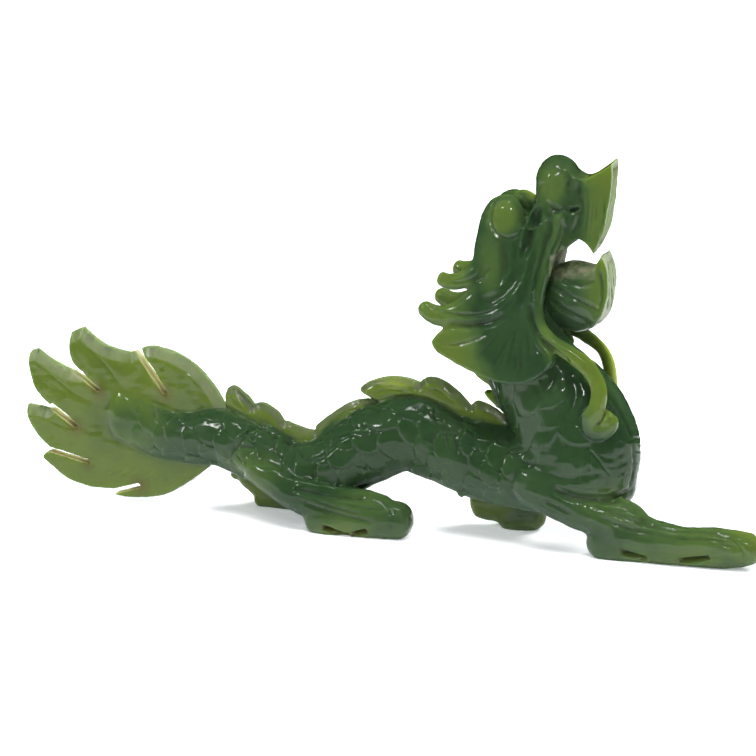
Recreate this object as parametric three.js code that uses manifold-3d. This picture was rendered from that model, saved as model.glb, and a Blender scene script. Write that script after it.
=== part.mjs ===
// Jade dragon carving: one solid piece of nephrite, cut from a single slab.
// Millimetres. +X is towards the head, +Y is the dragon's left, +Z is up.
// The origin is on the standing plane, at the middle of the carving's box.
import * as THREE from 'three';
import { mergeVertices } from 'three/addons/utils/BufferGeometryUtils.js';
import Module from 'manifold-3d';

const wasm = await Module();
wasm.setup();

// ---- Driving dimensions ----

// The stations and outlines below are set out from the middle of the back, and this moves the finished
// carving so that the origin lies under the middle of its length.
const CENTRE_SHIFT = -0.85;

// Centre heights and half sizes of the long forms: each station is [x, y, z, half width, half depth].
// The width lies along Y, and the depth is square to the path in the upright plane.
const TRUNK = [
  [-77.2, 0, 24.8, 5.2, 7.4],
  [-69.5, 0, 23.8, 5.6, 7.8],
  [-62.0, 0, 21.2, 6.0, 7.3],
  [-53.0, 0, 19.8, 6.6, 7.1],
  [-43.0, 0, 20.6, 7.6, 8.3],
  [-34.0, 0, 17.6, 8.6, 8.5],
  [-24.0, 0, 13.4, 9.2, 8.2],
  [-14.0, 0, 14.8, 9.2, 8.9],
  [-4.0, 0, 20.9, 8.8, 10.0],
  [7.0, 0, 25.7, 8.5, 10.1],
  [17.0, 0, 23.3, 9.0, 10.3],
  [28.0, 0, 19.9, 10.0, 10.6],
  [39.0, 0, 18.6, 11.2, 10.6],
  [60.0, 0, 18.0, 11.6, 10.0],
];
const NECK = [
  [53.0, 0, 5.6, 10.2, 13.4],
  [52.6, 0, 16.0, 12.2, 15.2],
  [51.7, 0, 26.0, 12.4, 16.5],
  [48.6, 0, 34.0, 11.6, 15.4],
  [43.7, 0, 41.0, 10.6, 13.0],
  [39.2, 0, 48.5, 9.2, 11.4],
  [36.6, 0, 56.5, 8.4, 10.2],
  [35.2, 0, 64.5, 8.2, 9.4],
  [34.8, 0, 72.0, 7.6, 9.0],
  [34.4, 0, 79.0, 6.6, 7.4],
  [34.2, 0, 86.6, 5.4, 5.4],
];
const REAR_RIGHT = {
  leg: [
    [-40.0, -4.0, 18.0, 4.6, 6.0],
    [-32.0, -7.2, 14.0, 5.0, 6.4],
    [-22.0, -8.8, 10.2, 4.6, 5.4],
    [-12.0, -8.9, 7.4, 4.4, 5.0],
    [-2.0, -8.9, 6.6, 4.4, 5.2],
    [7.0, -8.9, 5.2, 4.0, 4.4],
  ],
  paw: [
    [-17.9, -8.9, 2.6, 3.9, 3.0],
    [-11.0, -9.0, 3.2, 4.5, 3.9],
    [-1.0, -9.0, 4.2, 4.6, 4.9],
    [6.0, -9.0, 4.4, 4.5, 4.9],
    [11.2, -8.8, 4.6, 3.9, 3.8],
  ],
};
const REAR_LEFT = {
  leg: [
    [-35.6, 4.0, 18.6, 4.6, 5.8],
    [-34.0, 6.8, 12.6, 4.8, 5.4],
    [-30.6, 8.6, 7.6, 4.5, 4.8],
    [-23.0, 8.9, 6.0, 4.4, 5.2],
    [-14.0, 8.9, 5.4, 4.0, 4.4],
  ],
  paw: [
    [-38.0, 8.9, 1.4, 3.9, 1.8],
    [-31.0, 9.0, 3.2, 4.5, 3.8],
    [-21.0, 9.0, 4.2, 4.6, 4.8],
    [-14.0, 9.0, 4.4, 4.5, 4.8],
    [-9.0, 8.8, 4.6, 3.9, 3.8],
  ],
};
const FRONT_RIGHT = {
  leg: [
    [36.0, -7.6, 18.8, 4.4, 6.0],
    [46.0, -9.2, 15.8, 4.4, 5.8],
    [56.0, -9.2, 11.2, 4.4, 5.2],
    [66.0, -9.0, 8.2, 4.4, 5.9],
    [76.0, -8.9, 5.4, 4.0, 4.4],
  ],
  paw: [
    [57.0, -8.9, 3.0, 3.9, 3.4],
    [64.0, -9.0, 4.2, 4.5, 5.4],
    [73.0, -9.0, 4.8, 4.6, 5.5],
    [82.0, -9.0, 4.3, 4.6, 5.0],
    [91.0, -9.0, 4.7, 4.6, 5.2],
    [97.0, -8.9, 4.8, 4.4, 4.8],
    [101.0, -8.8, 5.2, 3.7, 3.8],
  ],
};
const FRONT_LEFT = {
  leg: [
    [48.0, 6.0, 16.0, 4.6, 6.0],
    [37.0, 8.2, 10.0, 4.6, 6.4],
    [28.4, 8.7, 6.6, 4.4, 5.4],
    [21.6, 8.5, 6.8, 3.6, 3.8],
  ],
  paw: [
    [29.2, 9.0, 2.4, 4.1, 2.8],
    [35.4, 9.0, 3.0, 4.5, 4.0],
    [42.0, 8.8, 4.2, 3.7, 3.8],
  ],
};

// Forms that come in pairs, one each side: y is given for the left one.
const UPPER_HORN = [
  [32.6, 5.2, 80.6, 1.8, 3.2],
  [28.9, 6.6, 73.4, 2.2, 2.8],
  [24.8, 7.2, 69.0, 2.1, 2.4],
  [20.2, 7.5, 67.9, 2.0, 2.2],
  [17.0, 7.6, 68.9, 1.6, 1.8],
];
const LOWER_HORN = [
  [33.0, 6.8, 71.0, 2.2, 3.6],
  [28.4, 7.8, 65.0, 2.4, 3.4],
  [23.0, 8.2, 60.4, 2.3, 3.0],
  [17.4, 8.1, 59.0, 2.1, 2.7],
  [12.4, 7.9, 61.4, 1.5, 1.9],
];
const CHEEK = [
  [36.0, 6.4, 78.0, 2.4, 5.0],
  [36.2, 7.4, 70.0, 2.8, 7.0],
  [34.6, 8.2, 62.0, 2.8, 8.0],
  [34.0, 8.8, 53.0, 2.2, 9.0],
];
const WHISKER_TOP = [
  [47.4, 6.2, 86.6, 1.6, 1.3],
  [45.9, 6.9, 79.6, 1.7, 1.4],
  [43.4, 7.9, 73.6, 1.8, 1.5],
  [41.9, 8.7, 66.8, 1.8, 1.5],
  [42.3, 9.4, 60.0, 1.8, 1.6],
  [46.2, 9.9, 55.2, 1.8, 1.8],
];
const WHISKER_RIGHT = [
  ...WHISKER_TOP,
  [52.0, 10.0, 51.8, 1.8, 2.0],
  [57.0, 10.0, 48.2, 1.8, 2.1],
  [59.6, 10.2, 43.4, 1.8, 2.1],
  [59.2, 10.9, 38.6, 1.8, 2.0],
  [57.2, 11.3, 34.8, 1.8, 2.2],
  [56.8, 11.3, 31.8, 1.7, 2.2],
  [59.4, 10.9, 30.4, 1.6, 1.9],
  [62.2, 10.2, 32.0, 1.4, 1.6],
];
const WHISKER_LEFT = [
  ...WHISKER_TOP,
  [51.2, 10.0, 52.4, 1.6, 1.6],
  [55.8, 10.0, 48.8, 1.6, 1.6],
  [57.8, 10.2, 43.8, 1.6, 1.6],
  [58.2, 10.9, 38.6, 1.7, 1.6],
  [59.6, 11.0, 34.6, 1.7, 1.7],
  [62.0, 10.4, 33.4, 1.6, 1.6],
];
const EYE = { centre: [33.9, 5.2, 83.9], half: [3.6, 3.4, 5.0] };
const BROW = [
  [30.0, 3.6, 86.2, 2.2, 1.6],
  [34.4, 5.2, 87.8, 2.4, 1.6],
  [38.8, 4.6, 85.6, 2.0, 1.6],
];

// Rounded forms on the middle plane: centres and half sizes are both [x, y, z].
const NOSE = { centre: [46.6, 0, 93.4], half: [6.3, 6.4, 6.5] };
const JAW = { centre: [51.6, 0, 64.8], half: [9.2, 7.0, 9.0] };

// Plates: thicknesses across Y, and the chamfer along their edges.
const TAIL_FIN = { thick: 3.8, chamfer: 0.8 };
const CREST = { thick: 3.6, chamfer: 0.5 };
const SNOUT = { rear: 11.6, front: 7.8, rearX: 42, frontX: 60, chamfer: 0.6 };
const LIP = { thick: 10.6, chamfer: 0.5 };
const MANE = { thick: 2.6, chamfer: 0.6, rootY: 8.6, edgeY: 11.6, rootZ: 66, edgeZ: 44 };

// Outlines in the upright plane: each corner is [x, z, bow]. Bow is how far the edge that arrives at
// the corner swells outwards, in millimetres, and a hollow edge has a negative bow.
const TAIL_OUTLINE = [
  [-43.0, 29.4, 0], [-51.4, 39.8, 0.8], [-62.8, 43.8, 0.7], [-66.8, 42.7, 0.3],
  [-69.2, 41.8, 0], [-75.8, 42.8, -0.2], [-82.5, 47.7, -0.5], [-86.1, 46.1, 0.2], [-84.1, 35.3, 1.2],
  [-89.1, 36.6, -0.2], [-95.9, 40.8, -0.2], [-98.3, 39.6, 0.4], [-96.7, 30.4, 0.8], [-90.4, 24.4, 0.6],
  [-93.8, 24.7, 0], [-99.3, 25.3, 0.3], [-96.9, 17.9, 0.8], [-91.2, 13.1, 0.4],
  [-93.2, 12.7, 0.1], [-95.1, 11.0, 0.3], [-87.7, 5.7, 0.2], [-79.0, 3.6, 0.5], [-73.8, 3.9, 0.1],
  [-74.5, 2.3, 0], [-64.6, 2.3, 0.5], [-54.8, 6.2, 0.7], [-47.0, 12.4, 0.2],
  [-47.0, 22.0, 0],
];
// Slits between the fin's lobes: the wide end, the narrow end and the width at the wide end.
const TAIL_SLITS = [
  { from: [-67.6, 43.6], to: [-59.2, 31.4], wide: 1.7 },
  { from: [-85.4, 36.4], to: [-78.2, 30.8], wide: 1.5 },
  { from: [-91.6, 25.2], to: [-85.0, 20.4], wide: 1.5 },
  { from: [-93.0, 13.4], to: [-81.4, 10.8], wide: 1.4 },
  { from: [-75.4, 2.9], to: [-67.0, 5.5], wide: 1.3 },
];
const SLIT_END_WIDTH = 0.9;
// Lobes of the crest down the back, then the two spikes behind the neck.
const CREST_OUTLINES = [
  [
    [-43.0, 24.0, 0], [-42.5, 30.4, 0], [-41.9, 33.9, 0.2], [-39.9, 34.4, 0.3], [-34.3, 28.8, 0.4],
    [-32.0, 20.0, 0],
  ],
  [
    [-36.4, 22.0, 0], [-34.8, 29.4, 0], [-33.5, 30.2, 0.2], [-31.4, 30.1, 0.2], [-26.4, 25.7, 0.6],
    [-25.0, 16.0, 0],
  ],
  [
    [-28.6, 18.0, 0], [-26.6, 25.9, 0], [-24.6, 25.7, 0.2], [-20.0, 24.3, -0.1], [-15.2, 24.7, -0.2],
    [-14.0, 18.0, 0],
  ],
  [[-17.8, 20.0, 0], [-17.6, 25.5, 0], [-8.4, 32.6, 0.4], [-0.9, 33.4, 0.7], [0.6, 26.0, 0]],
  [
    [-1.2, 30.0, 0], [-1.2, 33.1, 0], [-5.4, 36.0, -0.4], [-3.6, 38.2, 0.3], [4.3, 40.4, 0.6],
    [11.4, 38.7, 0.5], [12.0, 30.0, 0],
  ],
  [
    [10.0, 30.0, 0], [10.4, 38.8, 0], [13.4, 40.9, 0.6], [17.9, 39.6, 0.3], [24.6, 33.2, 0.4],
    [26.0, 26.0, 0],
  ],
  [
    [23.6, 26.0, 0], [24.2, 34.2, 0], [25.7, 35.3, 0.2], [29.4, 34.0, 0.2], [35.0, 30.9, 0.1],
    [36.0, 24.0, 0],
  ],
  [[34.0, 38.0, 0], [31.6, 46.0, 0], [25.0, 43.2, 0], [26.8, 40.0, 0.3], [34.0, 33.6, 0.2]],
  [[37.0, 32.0, 0], [32.6, 38.2, 0], [28.2, 38.2, 0], [30.6, 35.4, 0.2], [37.0, 29.6, 0.2]],
];
const SNOUT_OUTLINE = [
  [38.0, 83.0, 0], [42.6, 90.0, 0], [44.0, 95.6, 0.4], [49.2, 97.4, 0.6], [53.2, 94.8, -0.6],
  [60.3, 99.4, -0.4], [59.4, 87.0, 0.5], [56.0, 76.2, 0.7],
  [51.8, 80.0, -0.6], [46.6, 76.4, 0.7], [43.6, 70.0, -0.4], [36.0, 70.0, 0],
];
const LIP_OUTLINE = [
  [52.0, 71.0, 0], [55.8, 72.2, 0], [58.2, 75.9, -0.3], [60.2, 70.0, 0.5], [59.4, 63.6, 0.3],
  [56.0, 57.6, 0.5], [52.0, 62.0, 0],
];
const MANE_OUTLINE = [
  [40.0, 68.0, 0], [24.0, 60.0, 0], [20.0, 56.6, 0], [16.3, 52.6, 0.3], [18.4, 49.8, 0.3],
  [27.6, 45.8, 0.3], [37.4, 43.6, 0.5], [45.8, 46.8, 0.9], [48.2, 50.2, 0.3], [44.0, 60.0, 0],
];
// Small tufts behind the left knee and under the right shoulder: stations as above.
const KNEE_TUFT = [
  [-36.0, 6.4, 13.0, 1.6, 2.4],
  [-41.0, 6.8, 9.6, 1.2, 1.4],
  [-42.0, 6.8, 7.4, 0.8, 1.0],
];
const SHOULDER_TUFT = [
  [26.0, -5.0, 15.0, 1.6, 2.4],
  [23.6, -5.4, 12.8, 1.2, 1.4],
  [22.4, -5.6, 11.2, 0.8, 0.9],
];

// Notches drilled into the outer sides of the soles, between heel and toes: [x, z] corners on the right
// paws, and how far the left rear paw stands behind the right one.
const SOLE_NOTCHES = [
  [[-11.9, 3.4], [-7.9, 1.5], [-6.6, -1.0], [-10.0, -1.0]],
  [[-4.8, -1.0], [-4.2, 1.7], [1.8, 3.2], [1.0, 1.2], [-2.2, -1.0]],
  [[65.8, 3.4], [73.6, 1.0], [72.0, -1.0], [67.0, -1.0]],
  [[79.6, -1.0], [81.2, 1.5], [89.6, 3.3], [88.8, 1.0], [86.0, -1.0]],
];
const NOTCH_DEPTH = 1.8;
const PAW_REACH = 13.6;
const REAR_STRIDE = 20.2;

// ---- Helpers ----

// Turns a closed geometry into a manifold-3d solid.
function solid(geometry) {
  geometry.deleteAttribute('normal');
  geometry.deleteAttribute('uv');
  const merged = mergeVertices(geometry, 1e-4);
  const mesh = new wasm.Mesh({
    numProp: 3,
    vertProperties: new Float32Array(merged.attributes.position.array),
    triVerts: new Uint32Array(merged.index.array),
  });
  return new wasm.Manifold(mesh);
}

// Moves every vertex of a geometry by a function of its place.
function reshape(geometry, move) {
  const position = geometry.attributes.position;
  const point = new THREE.Vector3();
  for (let i = 0; i < position.count; i += 1) {
    point.fromBufferAttribute(position, i);
    move(point);
    position.setXYZ(i, point.x, point.y, point.z);
  }
  return geometry;
}

// A rounded form along a path of stations, closed at both ends by round caps.
function sweep(stations, { around = 14, along = 16, square = 2, caps = null } = {}) {
  const path = new THREE.CatmullRomCurve3(stations.map(([x, y, z]) => new THREE.Vector3(x, y, z)));
  const sizes = new THREE.CatmullRomCurve3(stations.map(([, , , w, d]) => new THREE.Vector3(w, d, 0)));
  const length = path.getLength();
  const ends = caps ?? [stations[0][4], stations[stations.length - 1][4]];
  const [first, last] = ends.map((end) => Math.min(end / length, 0.5));
  const across = new THREE.Vector3(0, 1, 0);
  const fold = (value) => Math.sign(value) * Math.abs(value) ** (2 / square);
  // A sphere's poles become the two ends, and its rings become the sections between them.
  return reshape(new THREE.SphereGeometry(1, around, along), (point) => {
    const t = THREE.MathUtils.clamp((1 - point.y) / 2, 0, 1);
    const angle = Math.atan2(point.z, point.x);
    const fromEnd = Math.min(t / first, (1 - t) / last, 1);
    const full = Math.sqrt(Math.max(0, 1 - (1 - fromEnd) ** 2));
    const centre = path.getPoint(t);
    const size = sizes.getPoint(t);
    const tangent = path.getTangent(t);
    const side = across.clone().addScaledVector(tangent, -tangent.y).normalize();
    const deep = tangent.clone().cross(side);
    point.copy(centre);
    point.addScaledVector(side, full * size.x * fold(Math.cos(angle)));
    point.addScaledVector(deep, full * size.y * fold(Math.sin(angle)));
  });
}

// An ellipsoid from its centre and half sizes.
function ball({ centre, half }, around = 16, along = 12) {
  return new THREE.SphereGeometry(1, around, along).scale(...half).translate(...centre);
}

// A closed outline through corners, with each edge bowed into a shallow curve.
function bowedShape(corners) {
  const shape = new THREE.Shape();
  shape.moveTo(corners[0][0], corners[0][1]);
  let [fromX, fromZ] = corners[0];
  const turn = Math.sign(THREE.ShapeUtils.area(corners.map(([x, z]) => new THREE.Vector2(x, z))));
  for (const [x, z, bow] of corners.slice(1)) {
    const reach = (2 * bow * turn) / Math.hypot(x - fromX, z - fromZ);
    const controlX = (fromX + x) / 2 + reach * (z - fromZ);
    const controlZ = (fromZ + z) / 2 - reach * (x - fromX);
    if (bow === 0) {
      shape.lineTo(x, z);
    } else {
      shape.quadraticCurveTo(controlX, controlZ, x, z);
    }
    [fromX, fromZ] = [x, z];
  }
  shape.closePath();
  return shape;
}

// A flat plate of an outline in the X/Z plane, centred on Y = 0, with chamfered edges.
function plate(corners, { thick, chamfer }) {
  const geometry = new THREE.ExtrudeGeometry(bowedShape(corners), {
    depth: thick - 2 * chamfer,
    curveSegments: 3,
    bevelEnabled: chamfer > 0,
    bevelThickness: chamfer,
    bevelSize: chamfer,
    bevelOffset: -chamfer,
    bevelSegments: 1,
  });
  return geometry.translate(0, 0, chamfer - thick / 2).rotateX(Math.PI / 2);
}

// The same form on the dragon's left (side 1) or right (side -1).
function onSide(stations, side) {
  return stations.map(([x, y, z, ...size]) => [x, side * y, z, ...size]);
}

// ---- The forms of the carving ----

// The fan of the tail, with the slits between its lobes cut right through.
function tailFin() {
  let fin = solid(plate(TAIL_OUTLINE, TAIL_FIN));
  for (const { from, to, wide } of TAIL_SLITS) {
    const run = Math.hypot(to[0] - from[0], to[1] - from[1]);
    const across = [(to[1] - from[1]) / run, (from[0] - to[0]) / run];
    const corner = (end, half) => [end[0] + across[0] * half, end[1] + across[1] * half, 0];
    const slit = [
      corner(from, wide / 2),
      corner(to, SLIT_END_WIDTH / 2),
      corner(to, -SLIT_END_WIDTH / 2),
      corner(from, -wide / 2),
    ];
    fin = fin.subtract(solid(plate(slit, { thick: TAIL_FIN.thick * 2, chamfer: 0 })));
  }
  return fin;
}

// A leg and the paw that it stands on.
function limb({ leg, paw }) {
  const upper = solid(sweep(leg, { around: 12, along: 10 }));
  return upper.add(solid(sweep(paw, { around: 12, along: 10, square: 2.6 })));
}

// The upper jaw with its fan-shaped lip, narrower towards the front.
function snout() {
  const { rear, front, rearX, frontX, chamfer } = SNOUT;
  const geometry = plate(SNOUT_OUTLINE, { thick: rear, chamfer });
  reshape(geometry, (point) => {
    const t = THREE.MathUtils.clamp((point.x - rearX) / (frontX - rearX), 0, 1);
    point.y *= THREE.MathUtils.lerp(1, front / rear, t);
  });
  return solid(geometry);
}

// One side of the mane: a plate that leans outwards as it comes down over the neck.
function mane(side) {
  const geometry = plate(MANE_OUTLINE, MANE);
  const { rootY, edgeY, rootZ, edgeZ } = MANE;
  reshape(geometry, (point) => {
    const t = THREE.MathUtils.clamp((rootZ - point.z) / (rootZ - edgeZ), 0, 1);
    point.y += side * THREE.MathUtils.lerp(rootY, edgeY, t);
  });
  return solid(geometry);
}

// Everything that the head has once on each side.
function headSide(side) {
  const eye = { ...EYE, centre: [EYE.centre[0], side * EYE.centre[1], EYE.centre[2]] };
  const forms = [
    sweep(onSide(UPPER_HORN, side), { around: 8, along: 9 }),
    sweep(onSide(LOWER_HORN, side), { around: 8, along: 9 }),
    sweep(onSide(CHEEK, side), { around: 12, along: 9 }),
    sweep(onSide(side > 0 ? WHISKER_LEFT : WHISKER_RIGHT, side), { around: 6, along: 24 }),
    sweep(onSide(BROW, side), { around: 8, along: 6 }),
    ball(eye, 10, 7),
  ];
  return forms.map(solid).reduce((whole, form) => whole.add(form), mane(side));
}

// The notches in the soles: both front ones are on the right paw, and each rear paw has a pair.
function soleNotches() {
  const cut = (corners, side, shift) => {
    const outline = corners.map(([x, z]) => [x + shift, z, 0]);
    const wedge = plate(outline, { thick: NOTCH_DEPTH * 2, chamfer: 0 });
    return solid(wedge.translate(0, side * PAW_REACH, 0));
  };
  const right = SOLE_NOTCHES.map((corners) => cut(corners, -1, 0));
  const left = SOLE_NOTCHES.slice(0, 2).map((corners) => cut(corners, 1, -REAR_STRIDE));
  return [...right, ...left];
}

// The whole stone: every form joined, then the notches and the standing plane cut.
function carve() {
  const middle = [
    sweep(NECK, { around: 16, along: 18, caps: [8, 5] }),
    sweep(KNEE_TUFT, { around: 6, along: 6 }),
    sweep(SHOULDER_TUFT, { around: 6, along: 6 }),
    ball(NOSE, 12, 8),
    ball(JAW, 14, 9),
    plate(LIP_OUTLINE, LIP),
    ...CREST_OUTLINES.map((corners) => plate(corners, CREST)),
  ];
  let stone = solid(sweep(TRUNK, { around: 16, along: 30, caps: [7.8, 10] }));
  stone = middle.map(solid).reduce((whole, form) => whole.add(form), stone);
  stone = stone.add(tailFin()).add(snout());
  for (const leg of [REAR_RIGHT, REAR_LEFT, FRONT_RIGHT, FRONT_LEFT]) {
    stone = stone.add(limb(leg));
  }
  for (const side of [-1, 1]) {
    stone = stone.add(headSide(side));
  }
  for (const notch of soleNotches()) {
    stone = stone.subtract(notch);
  }
  // The soles are ground flat on the standing plane.
  const ground = new THREE.BoxGeometry(300, 100, 20).translate(0, 0, -10);
  return stone.subtract(solid(ground));
}

// ---- The part ----

const { vertProperties, triVerts } = carve().getMesh();
const geometry = new THREE.BufferGeometry();
geometry.setAttribute('position', new THREE.BufferAttribute(new Float32Array(vertProperties), 3));
geometry.setIndex(new THREE.BufferAttribute(new Uint32Array(triVerts), 1));
geometry.computeVertexNormals();

const jade = new THREE.MeshStandardMaterial({ color: 0x46602f, roughness: 0.15, metalness: 0 });
const dragon = new THREE.Mesh(geometry, jade);
dragon.name = 'jade_dragon';
dragon.position.x = CENTRE_SHIFT;

const group = new THREE.Group();
group.add(dragon);

export default group;
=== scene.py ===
"""A polished jade dragon carving on a pale studio floor.

The carving is set out in millimetres: +X is towards the head, +Y is the dragon's left and +Z is up. It is
joined, softened and cut in those units, and turned into metres when it is finished.
"""

import logging
import math
from collections.abc import Callable, Iterable
from dataclasses import dataclass, replace
from enum import Enum

import bmesh
import bpy
import numpy as np
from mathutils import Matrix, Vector
from mathutils.bvhtree import BVHTree
from mathutils.geometry import interpolate_bezier


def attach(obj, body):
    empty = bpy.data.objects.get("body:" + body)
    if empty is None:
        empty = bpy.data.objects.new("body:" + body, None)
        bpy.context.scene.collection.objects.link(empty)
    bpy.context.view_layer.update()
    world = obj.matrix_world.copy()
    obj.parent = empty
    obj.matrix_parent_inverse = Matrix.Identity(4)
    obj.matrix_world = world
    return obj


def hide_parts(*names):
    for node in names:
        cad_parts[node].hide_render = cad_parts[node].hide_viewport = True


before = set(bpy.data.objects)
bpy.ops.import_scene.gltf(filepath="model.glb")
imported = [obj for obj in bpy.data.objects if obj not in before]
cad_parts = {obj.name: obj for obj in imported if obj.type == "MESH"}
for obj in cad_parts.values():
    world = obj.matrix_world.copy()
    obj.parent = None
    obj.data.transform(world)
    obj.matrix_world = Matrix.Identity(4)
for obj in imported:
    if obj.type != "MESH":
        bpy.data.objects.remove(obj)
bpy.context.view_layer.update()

log = logging.getLogger("jade_dragon")

Array = np.ndarray
Station = tuple[float, float, float, float, float]
Corner = tuple[float, float, float]
Place = tuple[float, float, float]
Colour = tuple[float, float, float]
Spot = tuple[float, float]
Edge = tuple[Spot, Spot]

MILLIMETRE = 0.001
# The forms are set out from the middle of the back; the origin lies under the middle of the length.
CENTRE_SHIFT = -0.85
# The fin and the crest lie on the tail's side of this X, and reach about this far from the middle plane.
LEAVES_END = 36.0
LEAF_HALF = 2.4
# What the finish follows: one number for each vertex; several of them place painted light and shade.
MASKS = ("thin", "groove", "stain", "rough", "ground", "sawn", "rim", "under")
# A gap, in millimetres, that counts as far from every line.
FAR = 99.0


class Side(Enum):
    """A side of the carving, as the sign of its Y."""

    RIGHT = -1
    LEFT = 1
    BOTH = 0


def ramp(values: Array, start: float, run: float) -> Array:
    """0 up to a start, rising to 1 over a run; with a run below 0 it rises the other way."""
    return np.clip((values - start) / run, 0, 1)


def unit(rows: Array) -> Array:
    """Rows brought to a length of 1."""
    return rows / np.linalg.norm(rows, axis=1)[:, None]


def add_object(name: str, data: bpy.types.ID) -> bpy.types.Object:
    """Makes an object and links it to the scene.

    Args:
        name: the object's name.
        data: its mesh, lamp or camera.

    Returns:
        The object.
    """
    made = bpy.data.objects.new(name, data)
    bpy.context.scene.collection.objects.link(made)
    return made


def add_mesh(name: str, bm: bmesh.types.BMesh) -> bpy.types.Object:
    """Makes an object of a mesh.

    Args:
        name: the object's name.
        bm: the mesh, which is freed.

    Returns:
        The object.
    """
    mesh = bpy.data.meshes.new(name)
    bm.to_mesh(mesh)
    bm.free()
    return add_object(name, mesh)


# ---- Forms ----


def curve_points(points: Array, places: Array) -> Array:
    """Points on a centripetal Catmull-Rom curve.

    Args:
        points: the points that the curve runs through, one a row.
        places: where on the curve, from 0 at the first point to 1 at the last.

    Returns:
        One row for each place.
    """
    padded = np.vstack([2 * points[0] - points[1], points, 2 * points[-1] - points[-2]])
    gaps = np.sum(np.diff(padded, axis=0) ** 2, axis=1) ** 0.25
    gaps = np.maximum(gaps, 1e-4)
    run = np.clip(places, 0, 1) * (len(points) - 1)
    first = np.minimum(run.astype(int), len(points) - 2)
    t = (run - first)[:, None]
    before, start, end, after = (padded[first + k] for k in range(4))
    gap_0, gap_1, gap_2 = (gaps[first + k][:, None] for k in range(3))
    middle = (end - start) / gap_1
    leave = (start - before) / gap_0 - (end - before) / (gap_0 + gap_1) + middle
    arrive = middle - (after - start) / (gap_1 + gap_2) + (after - end) / gap_2
    leave = leave * gap_1
    arrive = arrive * gap_1
    return (
        start
        + leave * t
        + (3 * (end - start) - 2 * leave - arrive) * t**2
        + (2 * (start - end) + leave + arrive) * t**3
    )


def closed(spots: list[Spot]) -> list[Edge]:
    """The edges of a closed outline."""
    return list(zip(spots, spots[1:] + spots[:1]))


def turn_of(spots: list[Spot]) -> float:
    """Twice the area inside an outline, below 0 where the outline runs clockwise."""
    return sum(a[0] * b[1] - b[0] * a[1] for a, b in closed(spots))


def holds(outline: list[Spot], spot: Spot) -> bool:
    """Whether an outline goes round a spot.

    Args:
        outline: the corners of the outline, in order.
        spot: the spot.

    Returns:
        True where the spot lies inside.
    """
    inside = False
    for (x_0, z_0), (x_1, z_1) in closed(outline):
        if (z_0 > spot[1]) != (z_1 > spot[1]) and spot[0] < x_0 + (x_1 - x_0) * (spot[1] - z_0) / (z_1 - z_0):
            inside = not inside
    return inside


def gap_to(points: Array, lines: Iterable[Edge], left_only: bool = False) -> Array:
    """How far points lie from the nearest of some straight lines, seen from the side.

    Args:
        points: the points.
        lines: both ends of each line.
        left_only: whether points well to the right of a line count as far from it.

    Returns:
        The distances.
    """
    right_slack = 0.6
    best = np.full(len(points), FAR)
    x, z = points[:, 0], points[:, 2]
    for start, end in lines:
        way = np.subtract(end, start)
        t = np.clip(((x - start[0]) * way[0] + (z - start[1]) * way[1]) / (way @ way), 0, 1)
        gap = np.hypot(x - start[0] - t * way[0], z - start[1] - t * way[1])
        if left_only:
            turn = (way[0] * (z - start[1]) - way[1] * (x - start[0])) / math.dist(start, end)
            gap = np.where(turn < -right_slack, FAR, gap)
        best = np.minimum(best, gap)
    return best


@dataclass(frozen=True)
class Sweep:
    """A rounded form along a path of stations, closed by round caps.

    Each station is [x, y, z, half width along Y, half depth square to the path].
    """

    stations: tuple[Station, ...]
    around: int = 32
    along: int = 48
    square: float = 2.0
    caps: Spot | None = None

    def on(self, side: Side) -> "Sweep":
        """The same form on the other side, where y was given for the left one."""
        return replace(self, stations=tuple((x, side.value * y, z, w, d) for x, y, z, w, d in self.stations))

    def spine(self, places: Array) -> Array:
        """Points on the path, at places from 0 at its start to 1 at its end."""
        return curve_points(np.array(self.stations)[:, :3], places)

    def halves(self, places: Array) -> Array:
        """The half width and the half depth at places along the path."""
        return curve_points(np.array(self.stations)[:, 3:], places)

    def build(self, bm: bmesh.types.BMesh) -> None:
        """Adds the form to a mesh, as a ball whose rings are moved onto the path.

        Args:
            bm: the mesh.
        """
        ball = bmesh.ops.create_uvsphere(bm, u_segments=self.around, v_segments=self.along, radius=1)
        place = np.array([v.co for v in ball["verts"]])
        t = np.clip((1 - place[:, 2]) / 2, 0, 1)
        angle = np.arctan2(place[:, 1], place[:, 0])
        wide, deep = self.halves(t).T
        nudge = 1e-4
        tangent = unit(self.spine(t + nudge) - self.spine(t - nudge))
        length = np.linalg.norm(np.diff(self.spine(np.linspace(0, 1, 200)), axis=0), axis=1).sum()
        caps = self.caps or (self.stations[0][4], self.stations[-1][4])
        first, last = (min(cap / length, 0.5) for cap in caps)
        from_end = np.minimum(np.minimum(t / first, (1 - t) / last), 1)
        full = np.sqrt(np.maximum(0, 1 - (1 - from_end) ** 2))
        side = unit(np.array([0.0, 1.0, 0.0]) - tangent * tangent[:, 1:2])
        across, up = (
            np.sign(part) * np.abs(part) ** (2 / self.square) for part in (np.cos(angle), np.sin(angle))
        )
        moved = self.spine(t) + side * (full * wide * across)[:, None]
        moved += np.cross(tangent, side) * (full * deep * up)[:, None]
        for vert, point in zip(ball["verts"], moved):
            vert.co = point


@dataclass(frozen=True)
class Ball:
    """A rounded lump: its centre and half sizes are both [x, y, z]."""

    centre: Place
    half: Place

    def on(self, side: Side) -> "Ball":
        """The same lump on the other side, where y was given for the left one."""
        return replace(self, centre=(self.centre[0], side.value * self.centre[1], self.centre[2]))

    def build(self, bm: bmesh.types.BMesh) -> None:
        """Adds the lump to a mesh.

        Args:
            bm: the mesh.
        """
        verts = bmesh.ops.create_uvsphere(bm, u_segments=40, v_segments=28, radius=1)["verts"]
        bmesh.ops.scale(bm, vec=self.half, verts=verts)
        bmesh.ops.translate(bm, vec=self.centre, verts=verts)


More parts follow.
